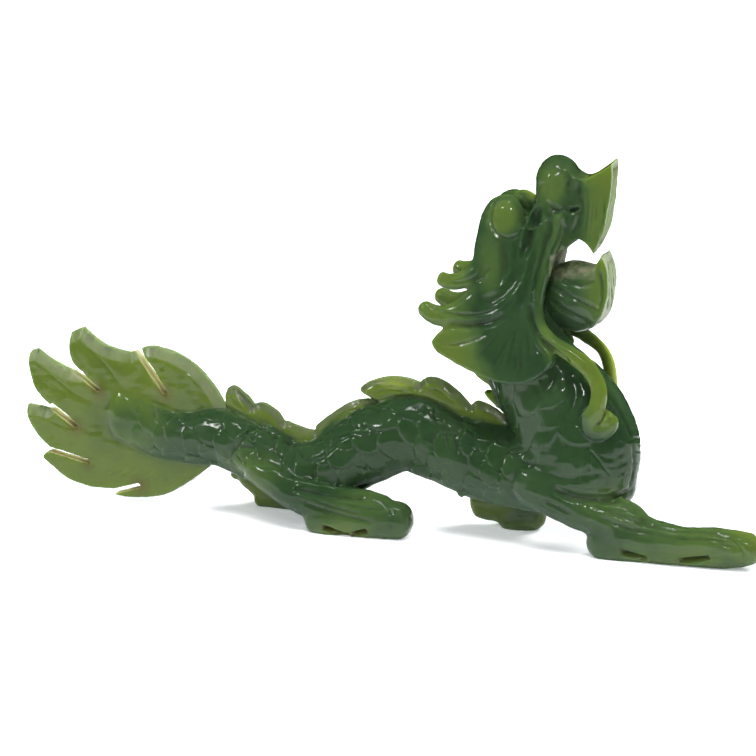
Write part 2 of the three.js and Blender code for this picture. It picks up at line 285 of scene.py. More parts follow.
@dataclass(frozen=True)
class Plate:
    """A flat leaf of stone in the upright plane, with chamfered edges where the chamfer isn't 0.

    Each corner is [x, z, bow], where bow is how far the edge that arrives there swells outwards.
    """

    corners: tuple[Corner, ...]
    thick: float
    chamfer: float
    lean: Callable[[Vector], float] | None = None

    def outline(self) -> list[Spot]:
        """The outline with each bowed edge as a run of short ones.

        Returns:
            The corners, in order.
        """
        spots = [(x, z) for x, z, _ in self.corners]
        way = math.copysign(1, turn_of(spots))
        outline = [spots[0]]
        for (x, z, bow), (from_x, from_z) in zip(self.corners[1:], spots):
            reach = 4 / 3 * bow * way / math.hypot(x - from_x, z - from_z)
            aside = Vector((z - from_z, from_x - x)) * reach
            start, end = Vector((from_x, from_z)), Vector((x, z))
            knots = (start, start.lerp(end, 1 / 3) + aside, start.lerp(end, 2 / 3) + aside, end)
            steps = 2 if bow == 0 else 8
            outline += [tuple(spot) for spot in interpolate_bezier(*knots, steps)[1:]]
        return outline

    def upper_edges(self, others: Iterable["Plate"] = (), least: float = 0.0) -> list[Edge]:
        """The parts of the outline that face upwards, with the plate to the left of each.

        Args:
            others: plates that hide the parts of the outline that lie in them.
            least: the shortest side of the outline that counts.

        Returns:
            Both ends of each part.
        """
        least_up, cover, beside = 0.3, 0.2, 0.3
        outline = self.outline()
        if turn_of(outline) < 0:
            outline.reverse()
        hidden = [other.outline() for other in others]
        short = [edge for edge in closed([(x, z) for x, z, _ in self.corners]) if math.dist(*edge) < least]
        made = []
        for a, b in closed(outline):
            size = math.dist(a, b)
            if size < 1e-6 or (a[0] - b[0]) / size < least_up:
                continue
            x, z = (a[0] + b[0]) / 2, (a[1] + b[1]) / 2
            covered = any(holds(other, (x, z + cover)) for other in hidden)
            if not covered and gap_to(np.array([[x, 0, z]]), short)[0] >= beside:
                made.append((a, b))
        return made

    def build(self, bm: bmesh.types.BMesh) -> None:
        """Adds the leaf to a mesh.

        Args:
            bm: the mesh.
        """
        leaf = bmesh.new()
        face = leaf.faces.new([leaf.verts.new((x, -self.thick / 2, z)) for x, z in self.outline()])
        raised = bmesh.ops.extrude_face_region(leaf, geom=[face], use_keep_orig=True)
        tops = [v for v in raised["geom"] if isinstance(v, bmesh.types.BMVert)]
        bmesh.ops.translate(leaf, vec=(0, self.thick, 0), verts=tops)
        bmesh.ops.recalc_face_normals(leaf, faces=leaf.faces[:])
        if self.chamfer > 0:
            bmesh.ops.bevel(
                leaf,
                geom=[e for e in leaf.edges if abs(e.verts[0].co.y - e.verts[1].co.y) < 1e-6],
                offset=self.chamfer,
                offset_type="OFFSET",
                affect="EDGES",
                segments=2,
                profile=0.5,
                material=-1,
                clamp_overlap=True,
            )
        bmesh.ops.triangulate(leaf, faces=leaf.faces[:])
        if self.lean is not None:
            for vert in leaf.verts:
                vert.co.y = self.lean(vert.co)
        made = bpy.data.meshes.new("leaf")
        leaf.to_mesh(made)
        leaf.free()
        bm.from_mesh(made)
        bpy.data.meshes.remove(made)


Form = Sweep | Ball | Plate


# ---- Relief ----


class Cut(Enum):
    """The shape that a pass of the carver's wheel leaves; a step is lower to the right of its line."""

    VEE = "vee"
    HOLLOW = "hollow"
    STEP = "step"


class Face(Enum):
    """The way that a stroke is looked at: the two axes it is drawn on, and the axis it is cut along."""

    SIDE = (0, 2, 1)
    FRONT = (1, 2, 0)


@dataclass(frozen=True)
class Stroke:
    """One pass of the wheel along a smooth line, tapering out at both ends.

    A step runs out over step_run widths on its low side, and rises over step_wall millimetres. A surface
    isn't cut where it faces the wheel by less than least_facing, and is cut fully from facing_run more.
    """

    path: tuple[Spot, ...]
    width: float = 0.9
    depth: float = 0.6
    cut: Cut = Cut.VEE
    side: Side = Side.BOTH
    reach: Spot = (0, FAR)
    taper: float = 3.0
    face: Face = Face.SIDE
    straight: bool = False
    step_run: float = 2.2
    step_wall: float = 0.35
    least_facing: float = 0.12
    facing_run: float = 0.3

    def profile(self, gap: Array, right: Array) -> Array:
        """How deep the wheel cuts, as a share of its full depth.

        Args:
            gap: how far from the line.
            right: how far to the right of it, below 0 on its left.

        Returns:
            The shares.
        """
        if self.cut is Cut.VEE:
            return np.clip(1 - gap / self.width, 0, 1)
        if self.cut is Cut.HOLLOW:
            return np.clip(1 - (gap / self.width) ** 2, 0, 1) ** 1.5
        fall = np.clip(1 - right / (self.step_run * self.width), 0, 1)
        rise = np.clip(1 + right / self.step_wall, 0, 1)
        return np.where(right > 0, fall, rise)

    def depths(self, points: Array, normals: Array) -> tuple[Array, Array]:
        """How deep the stroke cuts.

        Args:
            points: the places of the carving's vertices.
            normals: the ways that the vertices face.

        Returns:
            The numbers of the vertices that it touches, and its depth at each.
        """
        knots = np.array(self.path)
        if not self.straight:
            knots = curve_points(knots, np.linspace(0, 1, 8 * len(knots)))
        across, up, along = self.face.value
        flat = points[:, (across, up)]
        span = self.width * (self.step_run if self.cut is Cut.STEP else 1.0)
        near = np.all((flat > knots.min(axis=0) - span) & (flat < knots.max(axis=0) + span), axis=1)
        facing = normals[:, along]
        off = points[:, along]
        if self.face is Face.SIDE:
            if self.side is not Side.BOTH:
                near &= off * self.side.value > 0
            facing = facing * np.sign(off)
            off = np.abs(off)
        near &= (off >= self.reach[0]) & (off <= self.reach[1]) & (facing > self.least_facing)
        index = np.nonzero(near)[0]
        if not len(index):
            return index, np.zeros(0)
        start, step = knots[:-1], np.diff(knots, axis=0)
        size = np.maximum(np.linalg.norm(step, axis=1), 1e-6)
        run = np.concatenate([[0.0], np.cumsum(size)])
        away = flat[index][:, None, :] - start
        t = np.clip(np.sum(away * step, axis=2) / size**2, 0, 1)
        miss = away - t[..., None] * step
        gaps = np.linalg.norm(miss, axis=2)
        best = gaps.argmin(axis=1)
        row = np.arange(len(index))
        gap = gaps[row, best]
        place = run[best] + t[row, best] * size[best]
        turn = step[best, 0] * miss[row, best, 1] - step[best, 1] * miss[row, best, 0]
        shape = self.profile(gap, -gap * np.sign(turn))
        ends = np.minimum(place, run[-1] - place)
        taper = np.clip(ends / self.taper, 0, 1) ** 0.7 if self.taper > 0 else 1.0
        fade = ramp(facing[index], self.least_facing, self.facing_run)
        return index, self.depth * shape * taper * fade * (gap < span)


def cuts(lines: Iterable[tuple], **shared: object) -> list[Stroke]:
    """Makes one stroke of each line.

    Args:
        lines: a path, a width and a depth each, and a cut where they don't share one.
        shared: what the strokes share, by the names of their fields.

    Returns:
        The strokes.
    """
    return [Stroke(*line, **shared) for line in lines]


@dataclass(frozen=True)
class Bevel:
    """A bevel ground along the edges of a leaf.

    It starts a width in from the edge and takes its depth off each face at the edge itself. Pale is how much
    paler the bevel is painted, as a reflection of the bright light above, and dark how much of the painted
    dark edge it takes.
    """

    width: float
    depth: float
    pale: float
    dark: float = 0.0


@dataclass(frozen=True)
class Scales:
    """Overlapping fish scales round a sweep, with their free edges towards its start.

    A scale stands up by rim_share of its height right at its edge, and by lip_share more from a lip's width
    inwards. Wobble and tilt are how far scales are out of place and out of level.
    """

    row: float = 4.9
    across: float = 6.8
    radius: float = 5.0
    height: float = 0.9
    wobble: float = 1.1
    tilt: float = 0.46
    seed: int = 7
    columns: int = 24
    lip: float = 0.45
    rim_share: float = 0.55
    lip_share: float = 0.45
    most_raised: float = 1.1

    def depths(self, along: Array, round_: Array) -> Array:
        """How far under the full surface each place lies.

        Args:
            along: how far along the sweep, in millimetres.
            round_: how far round it, in millimetres.

        Returns:
            One depth for each place.
        """
        chance = np.random.default_rng(self.seed)
        rows = int(along.max() / self.row) + 4
        shake = chance.uniform(-self.wobble, self.wobble, (rows, self.columns, 2))
        lean = chance.uniform(-self.tilt, self.tilt, (rows, self.columns, 2))
        drop = np.full(len(along), self.height)
        for i, j in np.ndindex(rows, self.columns):
            u = along - (i * self.row + shake[i, j, 0])
            v = round_ - ((j - self.columns / 2 + 0.5 * (i % 2)) * self.across + shake[i, j, 1])
            gap = np.hypot(u, v)
            inside = gap < self.radius
            if not inside.any():
                continue
            raised = (self.radius - u) / (2 * self.radius)
            raised = raised + (lean[i, j, 0] * u + lean[i, j, 1] * v) / self.radius
            edge = np.clip((self.radius - gap) / self.lip, 0, 1)
            share = np.clip(raised, 0, self.most_raised) * (self.rim_share + self.lip_share * edge)
            drop[inside] = (self.height * (1 - share))[inside]
        return drop


@dataclass(frozen=True)
class ToneAndGlow:
    """A patch of painted light coming through the stone, darker where its strength is below 0; above 1 it
    paints the glow of stone lit from behind. Some patches also follow the stone's own paler and darker tone.
    """

    centre: Place
    half: Place
    strength: float

    def tint(self, thin: Array, points: Array) -> Array:
        """Paints the patch.

        Args:
            thin: how thin the stone looks at each point so far.
            points: the points, in millimetres.

        Returns:
            How thin it looks then.
        """
        off = (points - self.centre) / self.half
        near = np.clip(1.6 * (1 - np.linalg.norm(off, axis=1)), 0, 1)
        near = near * near * (3 - 2 * near)
        if self.strength < 0:
            return thin * (1 + self.strength * near)
        return np.maximum(thin, self.strength * near)


class Carver:
    """The joined stone while it is worked: its vertices and their neighbours."""

    def __init__(self, stone: bpy.types.Object) -> None:
        """Takes up a stone.

        Args:
            stone: the object whose mesh is worked.
        """
        self.mesh = stone.data
        self.points = self.read(self.mesh.vertices, "co", 3)
        self.pairs = self.read(self.mesh.edges, "vertices", 2, np.int64)
        self.degree = np.bincount(self.pairs.ravel(), minlength=len(self.points))[:, None]

    @staticmethod
    def read(items: bpy.types.bpy_prop_collection, name: str, width: int, kind: type = float) -> Array:
        """Reads one row of numbers for each item of the mesh.

        Args:
            items: the vertices, edges or normals.
            name: the property that is read.
            width: how many numbers it holds.
            kind: their type.

        Returns:
            The rows.
        """
        values = np.empty(len(items) * width, dtype=kind)
        items.foreach_get(name, values)
        return values.reshape(-1, width)

    def put_back(self) -> None:
        """Writes the worked vertices into the mesh."""
        self.mesh.vertices.foreach_set("co", self.points.ravel())
        self.mesh.update()

    def normals(self) -> Array:
        """The way that each vertex faces."""
        self.put_back()
        return self.read(self.mesh.vertex_normals, "vector", 3)

    def around(self, values: Array) -> Array:
        """Takes the mean over each vertex's neighbours.

        Args:
            values: one row of numbers for each vertex.

        Returns:
            One row of means for each vertex.
        """
        a, b = self.pairs.T
        total = np.empty_like(values)
        for k in range(values.shape[1]):
            total[:, k] = np.bincount(a, values[b, k], len(values))
            total[:, k] += np.bincount(b, values[a, k], len(values))
        return total / self.degree

    def even_out(self, values: Array, rounds: int, share: float) -> Array:
        """Evens out one number for each vertex with its neighbours.

        Args:
            values: the numbers.
            rounds: how many passes.
            share: how much of the way to the neighbours' mean each pass goes.

        Returns:
            The evened numbers.
        """
        values = values.copy()
        for _ in range(rounds):
            values += share * (self.around(values[:, None])[:, 0] - values)
        return values

    def soften(self, rounds: int, keep: Array | float = 0.0) -> None:
        """Polishes the surface without shrinking it.

        Args:
            rounds: how many passes.
            keep: how much of each vertex's place is kept, from 0 to 1.
        """
        start = self.points.copy()
        for _ in range(rounds):
            for step in (0.5, -0.52):
                self.points += step * (self.around(self.points) - self.points)
        self.points += (start - self.points) * keep

    def fill(self, rounds: int, weight: Array) -> None:
        """Rounds out the creases between the joined forms, and leaves what swells outwards.

        Args:
            rounds: how many passes: the more, the wider the fillets.
            weight: how much of the fillet each vertex gets, from 0 to 1.
        """
        share, kept_rounds = 0.9, 6
        for k in range(rounds):
            if k % kept_rounds == 0:
                normals = self.normals()
            lift = np.sum((self.around(self.points) - self.points) * normals, axis=1)
            self.points += normals * (share * np.maximum(lift, 0) * weight)[:, None]

    def undulate(self, height: float, wave: float, seed: int) -> None:
        """Leaves the surface slightly uneven, as grinding by hand does.

        Args:
            height: how far the surface rises and falls.
            wave: about how far apart the rises are.
            seed: which pattern.
        """
        waves = 12
        chance = np.random.default_rng(seed)
        rise = np.zeros(len(self.points))
        for _ in range(waves):
            way = chance.normal(size=3)
            way *= 2 * math.pi / (wave * chance.uniform(0.7, 1.5) * np.linalg.norm(way))
            rise += np.sin(self.points @ way + chance.uniform(0, 2 * math.pi))
        self.points += self.normals() * (rise * height / 3)[:, None]

    def grind(self, edges: list[Edge], thick: float, bevel: Bevel) -> None:
        """Grinds both faces of a leaf down towards some of its edges.

        Args:
            edges: the edges, as seen from the side.
            thick: the leaf's thickness.
            bevel: the bevel.
        """
        half, uneven = thick / 2, 0.6
        y = self.points[:, 1]
        gap = gap_to(self.points, edges, True)
        near = np.nonzero((np.abs(y) < half + uneven) & (gap < bevel.width))[0]
        limit = half - bevel.depth * (1 - gap[near] / bevel.width)
        self.points[near, 1] = np.sign(y[near]) * np.minimum(np.abs(y[near]), limit)

    def strokes(self, strokes: Iterable[Stroke]) -> None:
        """Cuts strokes into the surface, the deepest one winning where grooves cross.

        Args:
            strokes: the strokes.
        """
        normals = self.normals()
        groove = np.zeros(len(self.points))
        step = np.zeros(len(self.points))
        for stroke in strokes:
            index, depth = stroke.depths(self.points, normals)
            deepest = step if stroke.cut is Cut.STEP else groove
            deepest[index] = np.maximum(deepest[index], depth)
        self.points -= normals * (groove + step)[:, None]

    def scale_over(self, sweep: Sweep, scales: Scales, within: Callable[[Array], Array]) -> None:
        """Cuts scales into the part of the surface that a sweep made.

        Args:
            sweep: the sweep that carries them.
            scales: their pattern.
            within: gives a weight from 0 to 1 for each place, so that other forms are left alone.
        """
        # The scales stay on the sweep's own skin, within own_reach half sizes, and fade out at its ends.
        own_reach, own_fade, end_gap, end_run = 1.16, 0.08, 1, 3
        t = np.linspace(0, 1, 400)
        spine, halves = sweep.spine(t), sweep.halves(t)
        tangent = unit(np.gradient(spine, axis=0))
        run = np.concatenate([[0], np.cumsum(np.linalg.norm(np.diff(spine, axis=0), axis=1))])
        weight = within(self.points)
        index = np.nonzero(weight > 0)[0]
        here = self.points[index]
        nearest = np.empty(len(index), dtype=int)
        batch = 20000
        for start in range(0, len(index), batch):
            part = here[start : start + batch]
            gaps = (part[:, None, 0] - spine[:, 0]) ** 2 + (part[:, None, 2] - spine[:, 2]) ** 2
            nearest[start : start + batch] = gaps.argmin(axis=1)
        way = here - spine[nearest]
        up = np.sum(way * np.cross(tangent[nearest], [0.0, 1.0, 0.0]), axis=1) / halves[nearest, 1]
        wide = way[:, 1] / halves[nearest, 0]
        own = ramp(np.hypot(up, wide), own_reach, -own_fade)
        girth = np.arctan2(up, np.abs(wide)) * halves[nearest].mean(axis=1)
        drop = scales.depths(run[nearest], girth)
        ends = np.clip(np.minimum(run[nearest] - end_gap, run[-1] - run[nearest]) / end_run, 0, 1)
        self.points[index] -= self.normals()[index] * (drop * own * ends * weight[index])[:, None]


# ---- Sub-assemblies of the carving ----


@dataclass(frozen=True)
class Body:
    """The trunk and the neck, both scaled, with a plated chest."""

    trunk: Sweep = Sweep(
        (
            (-77.2, 0, 24.8, 3.4, 7.6), (-69.5, 0, 23.8, 4, 8), (-62, 0, 21.2, 5, 7.6),
            (-53, 0, 19.8, 6.3, 7.2), (-43, 0, 20.6, 7.6, 8.3), (-34, 0, 17.6, 8.6, 8.5),
            (-24, 0, 13.4, 9.2, 8.2), (-14, 0, 14.8, 9.2, 8.9), (-4, 0, 20.9, 8.8, 10),
            (7, 0, 25.7, 8.5, 10.1), (17, 0, 23.3, 9, 10.3), (28, 0, 19.9, 10, 10.6),
            (39, 0, 18.6, 11.2, 10.6), (60, 0, 18, 11.6, 10),
        ),
        around=48,
        along=160,
        caps=(7.8, 10),
    )
    neck: Sweep = Sweep(
        (
            (53, 0, 5.6, 10.2, 13.4), (52.6, 0, 16, 12.2, 15.2), (51.7, 0, 26, 12.4, 16.5),
            (48.6, 0, 34, 11.6, 15.4), (43.7, 0, 41, 10.6, 13), (39.2, 0, 48.5, 9.2, 11.4),
            (36.6, 0, 56.5, 8.4, 10.2), (35.2, 0, 64.5, 8.2, 9.4), (34.8, 0, 72, 7.6, 9),
            (34.4, 0, 79, 6.6, 7.4), (34.2, 0, 86.6, 5.4, 5.4),
        ),
        around=48,
        along=100,
        caps=(8, 5),
    )
    trunk_scales: Scales = Scales()
    neck_scales: Scales = Scales(row=5.6, across=7.6, radius=5.8, height=0.5, wobble=2, seed=11)

    def forms(self) -> list[Sweep]:
        """The forms to be joined."""
        return [self.trunk, self.neck]
    def cut_scales(self, carver: Carver) -> None:
        """Cuts the scales of the trunk and the lower neck.

        Args:
            carver: the stone that they are cut into.
        """

        def on_trunk(points: Array) -> Array:
            """Between the tail and the chest, off the middle plane."""
            x, y, _ = points.T
            return ramp(x, 40, -4) * ramp(x, -76, 12) * ramp(np.abs(y), LEAF_HALF, 1.2)

        def on_neck(points: Array) -> Array:
            """Between the shoulders and the mane, behind the chest."""
            x, _, z = points.T
            return ramp(z, 19, 3) * ramp(z, 47, -3) * ramp(x, 62, -5)

        carver.scale_over(self.trunk, self.trunk_scales, on_trunk)
        carver.scale_over(self.neck, self.neck_scales, on_neck)

    def chest(self) -> list[Stroke]:
        """The band down the front of the chest, with its plates.

        Returns:
            The strokes.
        """
        band = ((6.4, 47), (4.8, 39), (4, 31), (3.8, 24), (4.6, 15))
        edges = [tuple((turn * y, z) for y, z in band) for turn in (-1, 1)]
        heights = [17 + 3.1 * k for k in range(6)]
        plates = [((-3.9, z + 0.5), (0, z - 0.5), (3.9, z + 0.5)) for z in heights]
        front = {"reach": (52, 75), "face": Face.FRONT}
        return [Stroke(edge, 0.8, 0.45, **front) for edge in edges] + [
            Stroke(plate, 0.5, 0.14, taper=0.6, **front) for plate in plates
        ]

    def strokes(self) -> list[Stroke]:
        """The chest, the lines of the throat and the flank, and the hollows of the nape.

        Returns:
            The strokes.
        """
        throat = (
            (((59.6, 26.8), (62.4, 25.6), (65.8, 26.6)), 0.5, 0.14, Cut.VEE),
            (((60.6, 24.4), (63.4, 23.4), (67, 24.6)), 0.5, 0.14, Cut.VEE),
            (((63.6, 21.4), (66, 20.7), (68, 21.6)), 0.5, 0.2, Cut.VEE),
            (((46, 21.8), (51, 20.6), (56, 21.4), (61.6, 22.4)), 0.9, 0.2, Cut.STEP),
            (((52, 18.6), (57, 17.7), (62.6, 18.8)), 0.8, 0.2, Cut.STEP),
            (((61.8, 42), (64.4, 37.8), (66.4, 33.8)), 0.5, 0.3, Cut.VEE),
            (((60.4, 40), (63.4, 35.8)), 0.5, 0.3, Cut.VEE),
            (((64.4, 33.4), (64.2, 30.8), (65, 28.4)), 0.5, 0.3, Cut.VEE),
        )
        flank = (
            (((-19.3, 17.6), (-13.3, 19.7), (-9, 24.3), (-3.6, 26.6)), 0.8, 0.4),
            (((-14.7, 21.7), (-10.4, 24), (-7.7, 25.3), (-2.8, 26.2)), 0.6, 0.3),
            (((15.1, 35.8), (15.6, 32.1), (18.8, 28.7), (21, 23.6)), 0.5, 0.35),
            (((19.6, 28), (21.2, 28.1), (23.4, 22.4)), 0.5, 0.35),
        )
        nape = (
            (((45.8, 50), (47.6, 45.4), (47, 41.6)), 1.3, 0.5),
            (((51.2, 46.6), (53.4, 41), (52.4, 36)), 1.5, 0.5),
            (((43, 44), (45.4, 39.6)), 1, 0.4),
        )
        scratch = ((57.9, 27.8), (60.3, 25), (62.6, 21.4))
        return [
            *self.chest(),
            *cuts(throat, taper=1.2),
            *cuts(flank, side=Side.RIGHT, reach=(2.5, 20)),
            *cuts(nape, cut=Cut.HOLLOW, reach=(3, 20), taper=3),
            Stroke(scratch, 0.45, 0.3, side=Side.RIGHT, taper=0.6, straight=True),
        ]


@dataclass(frozen=True)
class Leg:
    """One leg and the paw that it stands on."""

    leg: tuple[Station, ...]
    paw: tuple[Station, ...]

    def forms(self) -> list[Sweep]:
        """The forms to be joined."""
        return [Sweep(self.leg, along=40), Sweep(self.paw, around=36, square=2.6)]


@dataclass(frozen=True)
class Legs:
    """The four legs in mid stride, with the pockets drilled in their soles."""

    rear_right: Leg = Leg(
        leg=(
            (-38, -2.6, 17.4, 4.6, 4.4), (-33, -5, 15.4, 4.6, 4.4), (-27, -7.3, 12.4, 4.6, 4.5),
            (-20.2, -8.7, 9.2, 4.5, 4.9), (-12, -8.9, 7.4, 4.4, 5), (-2, -8.9, 6.6, 4.4, 5.2),
            (7, -8.9, 5.2, 4, 4.4),
        ),
        paw=(
            (-17.9, -8.9, 2.6, 3.9, 3), (-11, -9, 3.2, 4.5, 3.9), (-1, -9, 4.2, 4.6, 4.9),
            (6, -9, 4.4, 4.5, 4.9), (11.2, -8.8, 4.6, 3.9, 3.8),
        ),
    )
    rear_left: Leg = Leg(
        leg=(
            (-37, 4, 18, 4.6, 5.4), (-38.4, 6.8, 12.2, 4.4, 4.6), (-37.6, 8.5, 7.8, 4.4, 4.7),
            (-29.5, 8.9, 5.8, 4.4, 4.7), (-22, 8.9, 5.6, 4.3, 4.7), (-14, 8.9, 5.4, 4, 4.4),
        ),
        paw=(
            (-38, 8.9, 1.4, 3.9, 1.8), (-31, 9, 3.2, 4.5, 3.8), (-21, 9, 4.2, 4.6, 4.8),
            (-14, 9, 4.4, 4.5, 4.8), (-9, 8.8, 4.6, 3.9, 3.8),
        ),
    )
    front_right: Leg = Leg(
        leg=(
            (36, -7.6, 18.8, 4.4, 6), (46, -9.2, 15.8, 4.4, 5.8), (56, -9.2, 11, 4.4, 4.8),
            (62, -9, 10, 4.4, 5.4), (66.6, -8.6, 9.6, 4.2, 5.2), (70.6, -8.8, 7.2, 4.2, 4.5),
            (76, -8.9, 5.4, 4, 4.4),
        ),
        paw=(
            (57, -8.9, 3, 3.9, 3.4), (64, -9, 4.2, 4.5, 5.4), (73, -9, 4.8, 4.6, 5.5),
            (82, -9, 4.3, 4.6, 5), (90, -9, 4.8, 4.6, 5.1), (96, -8.9, 5, 4.3, 4.4),
            (101, -8.8, 5.6, 3.4, 3.2),
        ),
    )
    front_left: Leg = Leg(
        leg=(
            (48, 6, 16, 4.6, 6), (37, 8.2, 10, 4.6, 6.4), (28.4, 8.7, 6.6, 4.4, 5.4),
            (21.6, 8.5, 6.8, 3.6, 3.8),
        ),
        paw=(
            (29.2, 9, 2.4, 4.1, 2.8), (35.4, 9, 3, 4.5, 4), (42, 8.8, 4.2, 3.7, 3.8),
        ),
    )
    knee_tuft: Sweep = Sweep(
        ((-37, 6.4, 13, 2.2, 3), (-42, 6.8, 9.4, 1.8, 2), (-43.2, 6.8, 6.8, 1.2, 1.4)),
        around=12,
        along=12,
    )
    shoulder_tuft: Sweep = Sweep(
        ((26, -5, 15, 1.6, 2.4), (23.6, -5.4, 12.8, 1.2, 1.4), (22.4, -5.6, 11.2, 0.8, 0.9)),
        around=12,
        along=12,
    )
    # The slots cut into the sides of the paws, low down between heel and toe.
    rear_slots: tuple[tuple[Spot, ...], ...] = (
        ((-12, 2.2), (-9.6, 1.4), (-7, 0.5), (-4.4, 0.4)),
        ((-4, 0.6), (-1.6, 1.5), (0.4, 2.3)),
    )
    front_slots: tuple[tuple[Spot, ...], ...] = (
        ((66.2, 2.8), (69, 2.2), (73.6, 1.3)),
        ((81, 1.6), (85, 2.4), (89.2, 3.3)),
    )
    stride: float = 20.2

    def forms(self) -> list[Sweep]:
        """The forms to be joined."""
        legs = (self.rear_right, self.rear_left, self.front_right, self.front_left)
        return [form for leg in legs for form in leg.forms()] + [self.knee_tuft, self.shoulder_tuft]

    def slots(self) -> list[Stroke]:
        """The slots of both right paws and of the left rear one, which stands a stride further back.

        Returns:
            The strokes.
        """
        rear_left = [tuple((x - self.stride, z) for x, z in path) for path in self.rear_slots]
        hollow = {"cut": Cut.HOLLOW, "reach": (8, 20)}
        return [
            *[Stroke(path, 1, 1.7, side=Side.RIGHT, taper=1.6, **hollow) for path in self.front_slots],
            *[Stroke(path, 1.1, 1.9, side=Side.RIGHT, taper=1.2, **hollow) for path in self.rear_slots],
            *[Stroke(path, 1.1, 1.9, side=Side.LEFT, taper=1.2, **hollow) for path in rear_left],
        ]

    def strokes(self) -> list[Stroke]:
        """The grooves of the thighs, arms and toes.

        Returns:
            The strokes.
        """
        right = (
            # The crease over the thigh, and the long grooves of the thigh and the paw.
            (((-20, 11.8), (-13, 10.9), (-6, 10.5), (1, 10.8)), 1.5, 1.3),
            (((-19, 9), (-12, 6.9), (-5, 5.6), (2, 4.8)), 1, 0.6),
            (((-14, 9), (-8, 7.6), (-1, 6.6)), 0.7, 0.35),
            (((-11, 9.6), (-4, 8.6), (4.6, 8)), 0.7, 0.4),
            (((4.6, 9.4), (6.4, 7.6), (7, 5.2)), 0.7, 0.5),
            (((7, 8.6), (8.6, 6.8), (9.3, 4.6)), 0.6, 0.4),
            (((6.2, 5.4), (6.8, 4), (7.2, 2.6)), 0.5, 0.4),
            # The crease between the chest and the arm, and the long grooves of the arm and the toe.
            (((49, 17.8), (53, 16.2), (58, 15.4), (63, 15.3), (67.6, 16)), 1.5, 1.3),
            (((46.4, 14.6), (50.4, 13), (55, 10.6)), 0.8, 0.5),
            (((60, 11.6), (66, 9.6), (73, 8.2), (82, 7.6), (91, 7.8), (96.4, 5.8)), 1.1, 0.5),
            (((57, 14.2), (64, 12.6), (70, 10.6), (78, 9.4), (88, 9.4), (95.6, 8.4)), 1.1, 0.5),
            (((91.6, 9.2), (95.6, 7.4), (97.4, 4.8), (96.4, 2.4)), 0.6, 0.4),
        )
        left = (
            (((-33, 13), (-28, 10.4), (-22, 8.8), (-14, 8)), 1.2, 0.8),
            (((-31, 8.6), (-25, 6.6), (-17, 5.6)), 0.9, 0.6),
            (((48, 14.6), (42, 10.6), (35, 8), (29, 7.6)), 1.2, 0.8),
            (((46, 9.4), (40, 6.4), (33, 5)), 0.9, 0.6),
        )
        thigh = ((-31.6, 20), (-35.6, 20.2), (-38.5, 18.2), (-38.4, 15.8), (-36.6, 14))
        loin = ((-29.9, 25.4), (-34.3, 24), (-35.4, 21.7), (-38.8, 18.7), (-39.7, 16.5))
        shoulder = ((44.9, 23.8), (42.4, 22.2), (39.8, 21.2), (38, 18.2), (37.8, 14.8), (39.4, 11.8))
        edges = [(path, 0.7, 0.6) for path in (thigh, loin, shoulder)]
        return [
            *cuts(edges, cut=Cut.STEP, side=Side.RIGHT, reach=(3, 20)),
            *cuts(right, side=Side.RIGHT, reach=(3, 20)),
            *cuts(left, side=Side.LEFT, reach=(3, 20)),
        ]


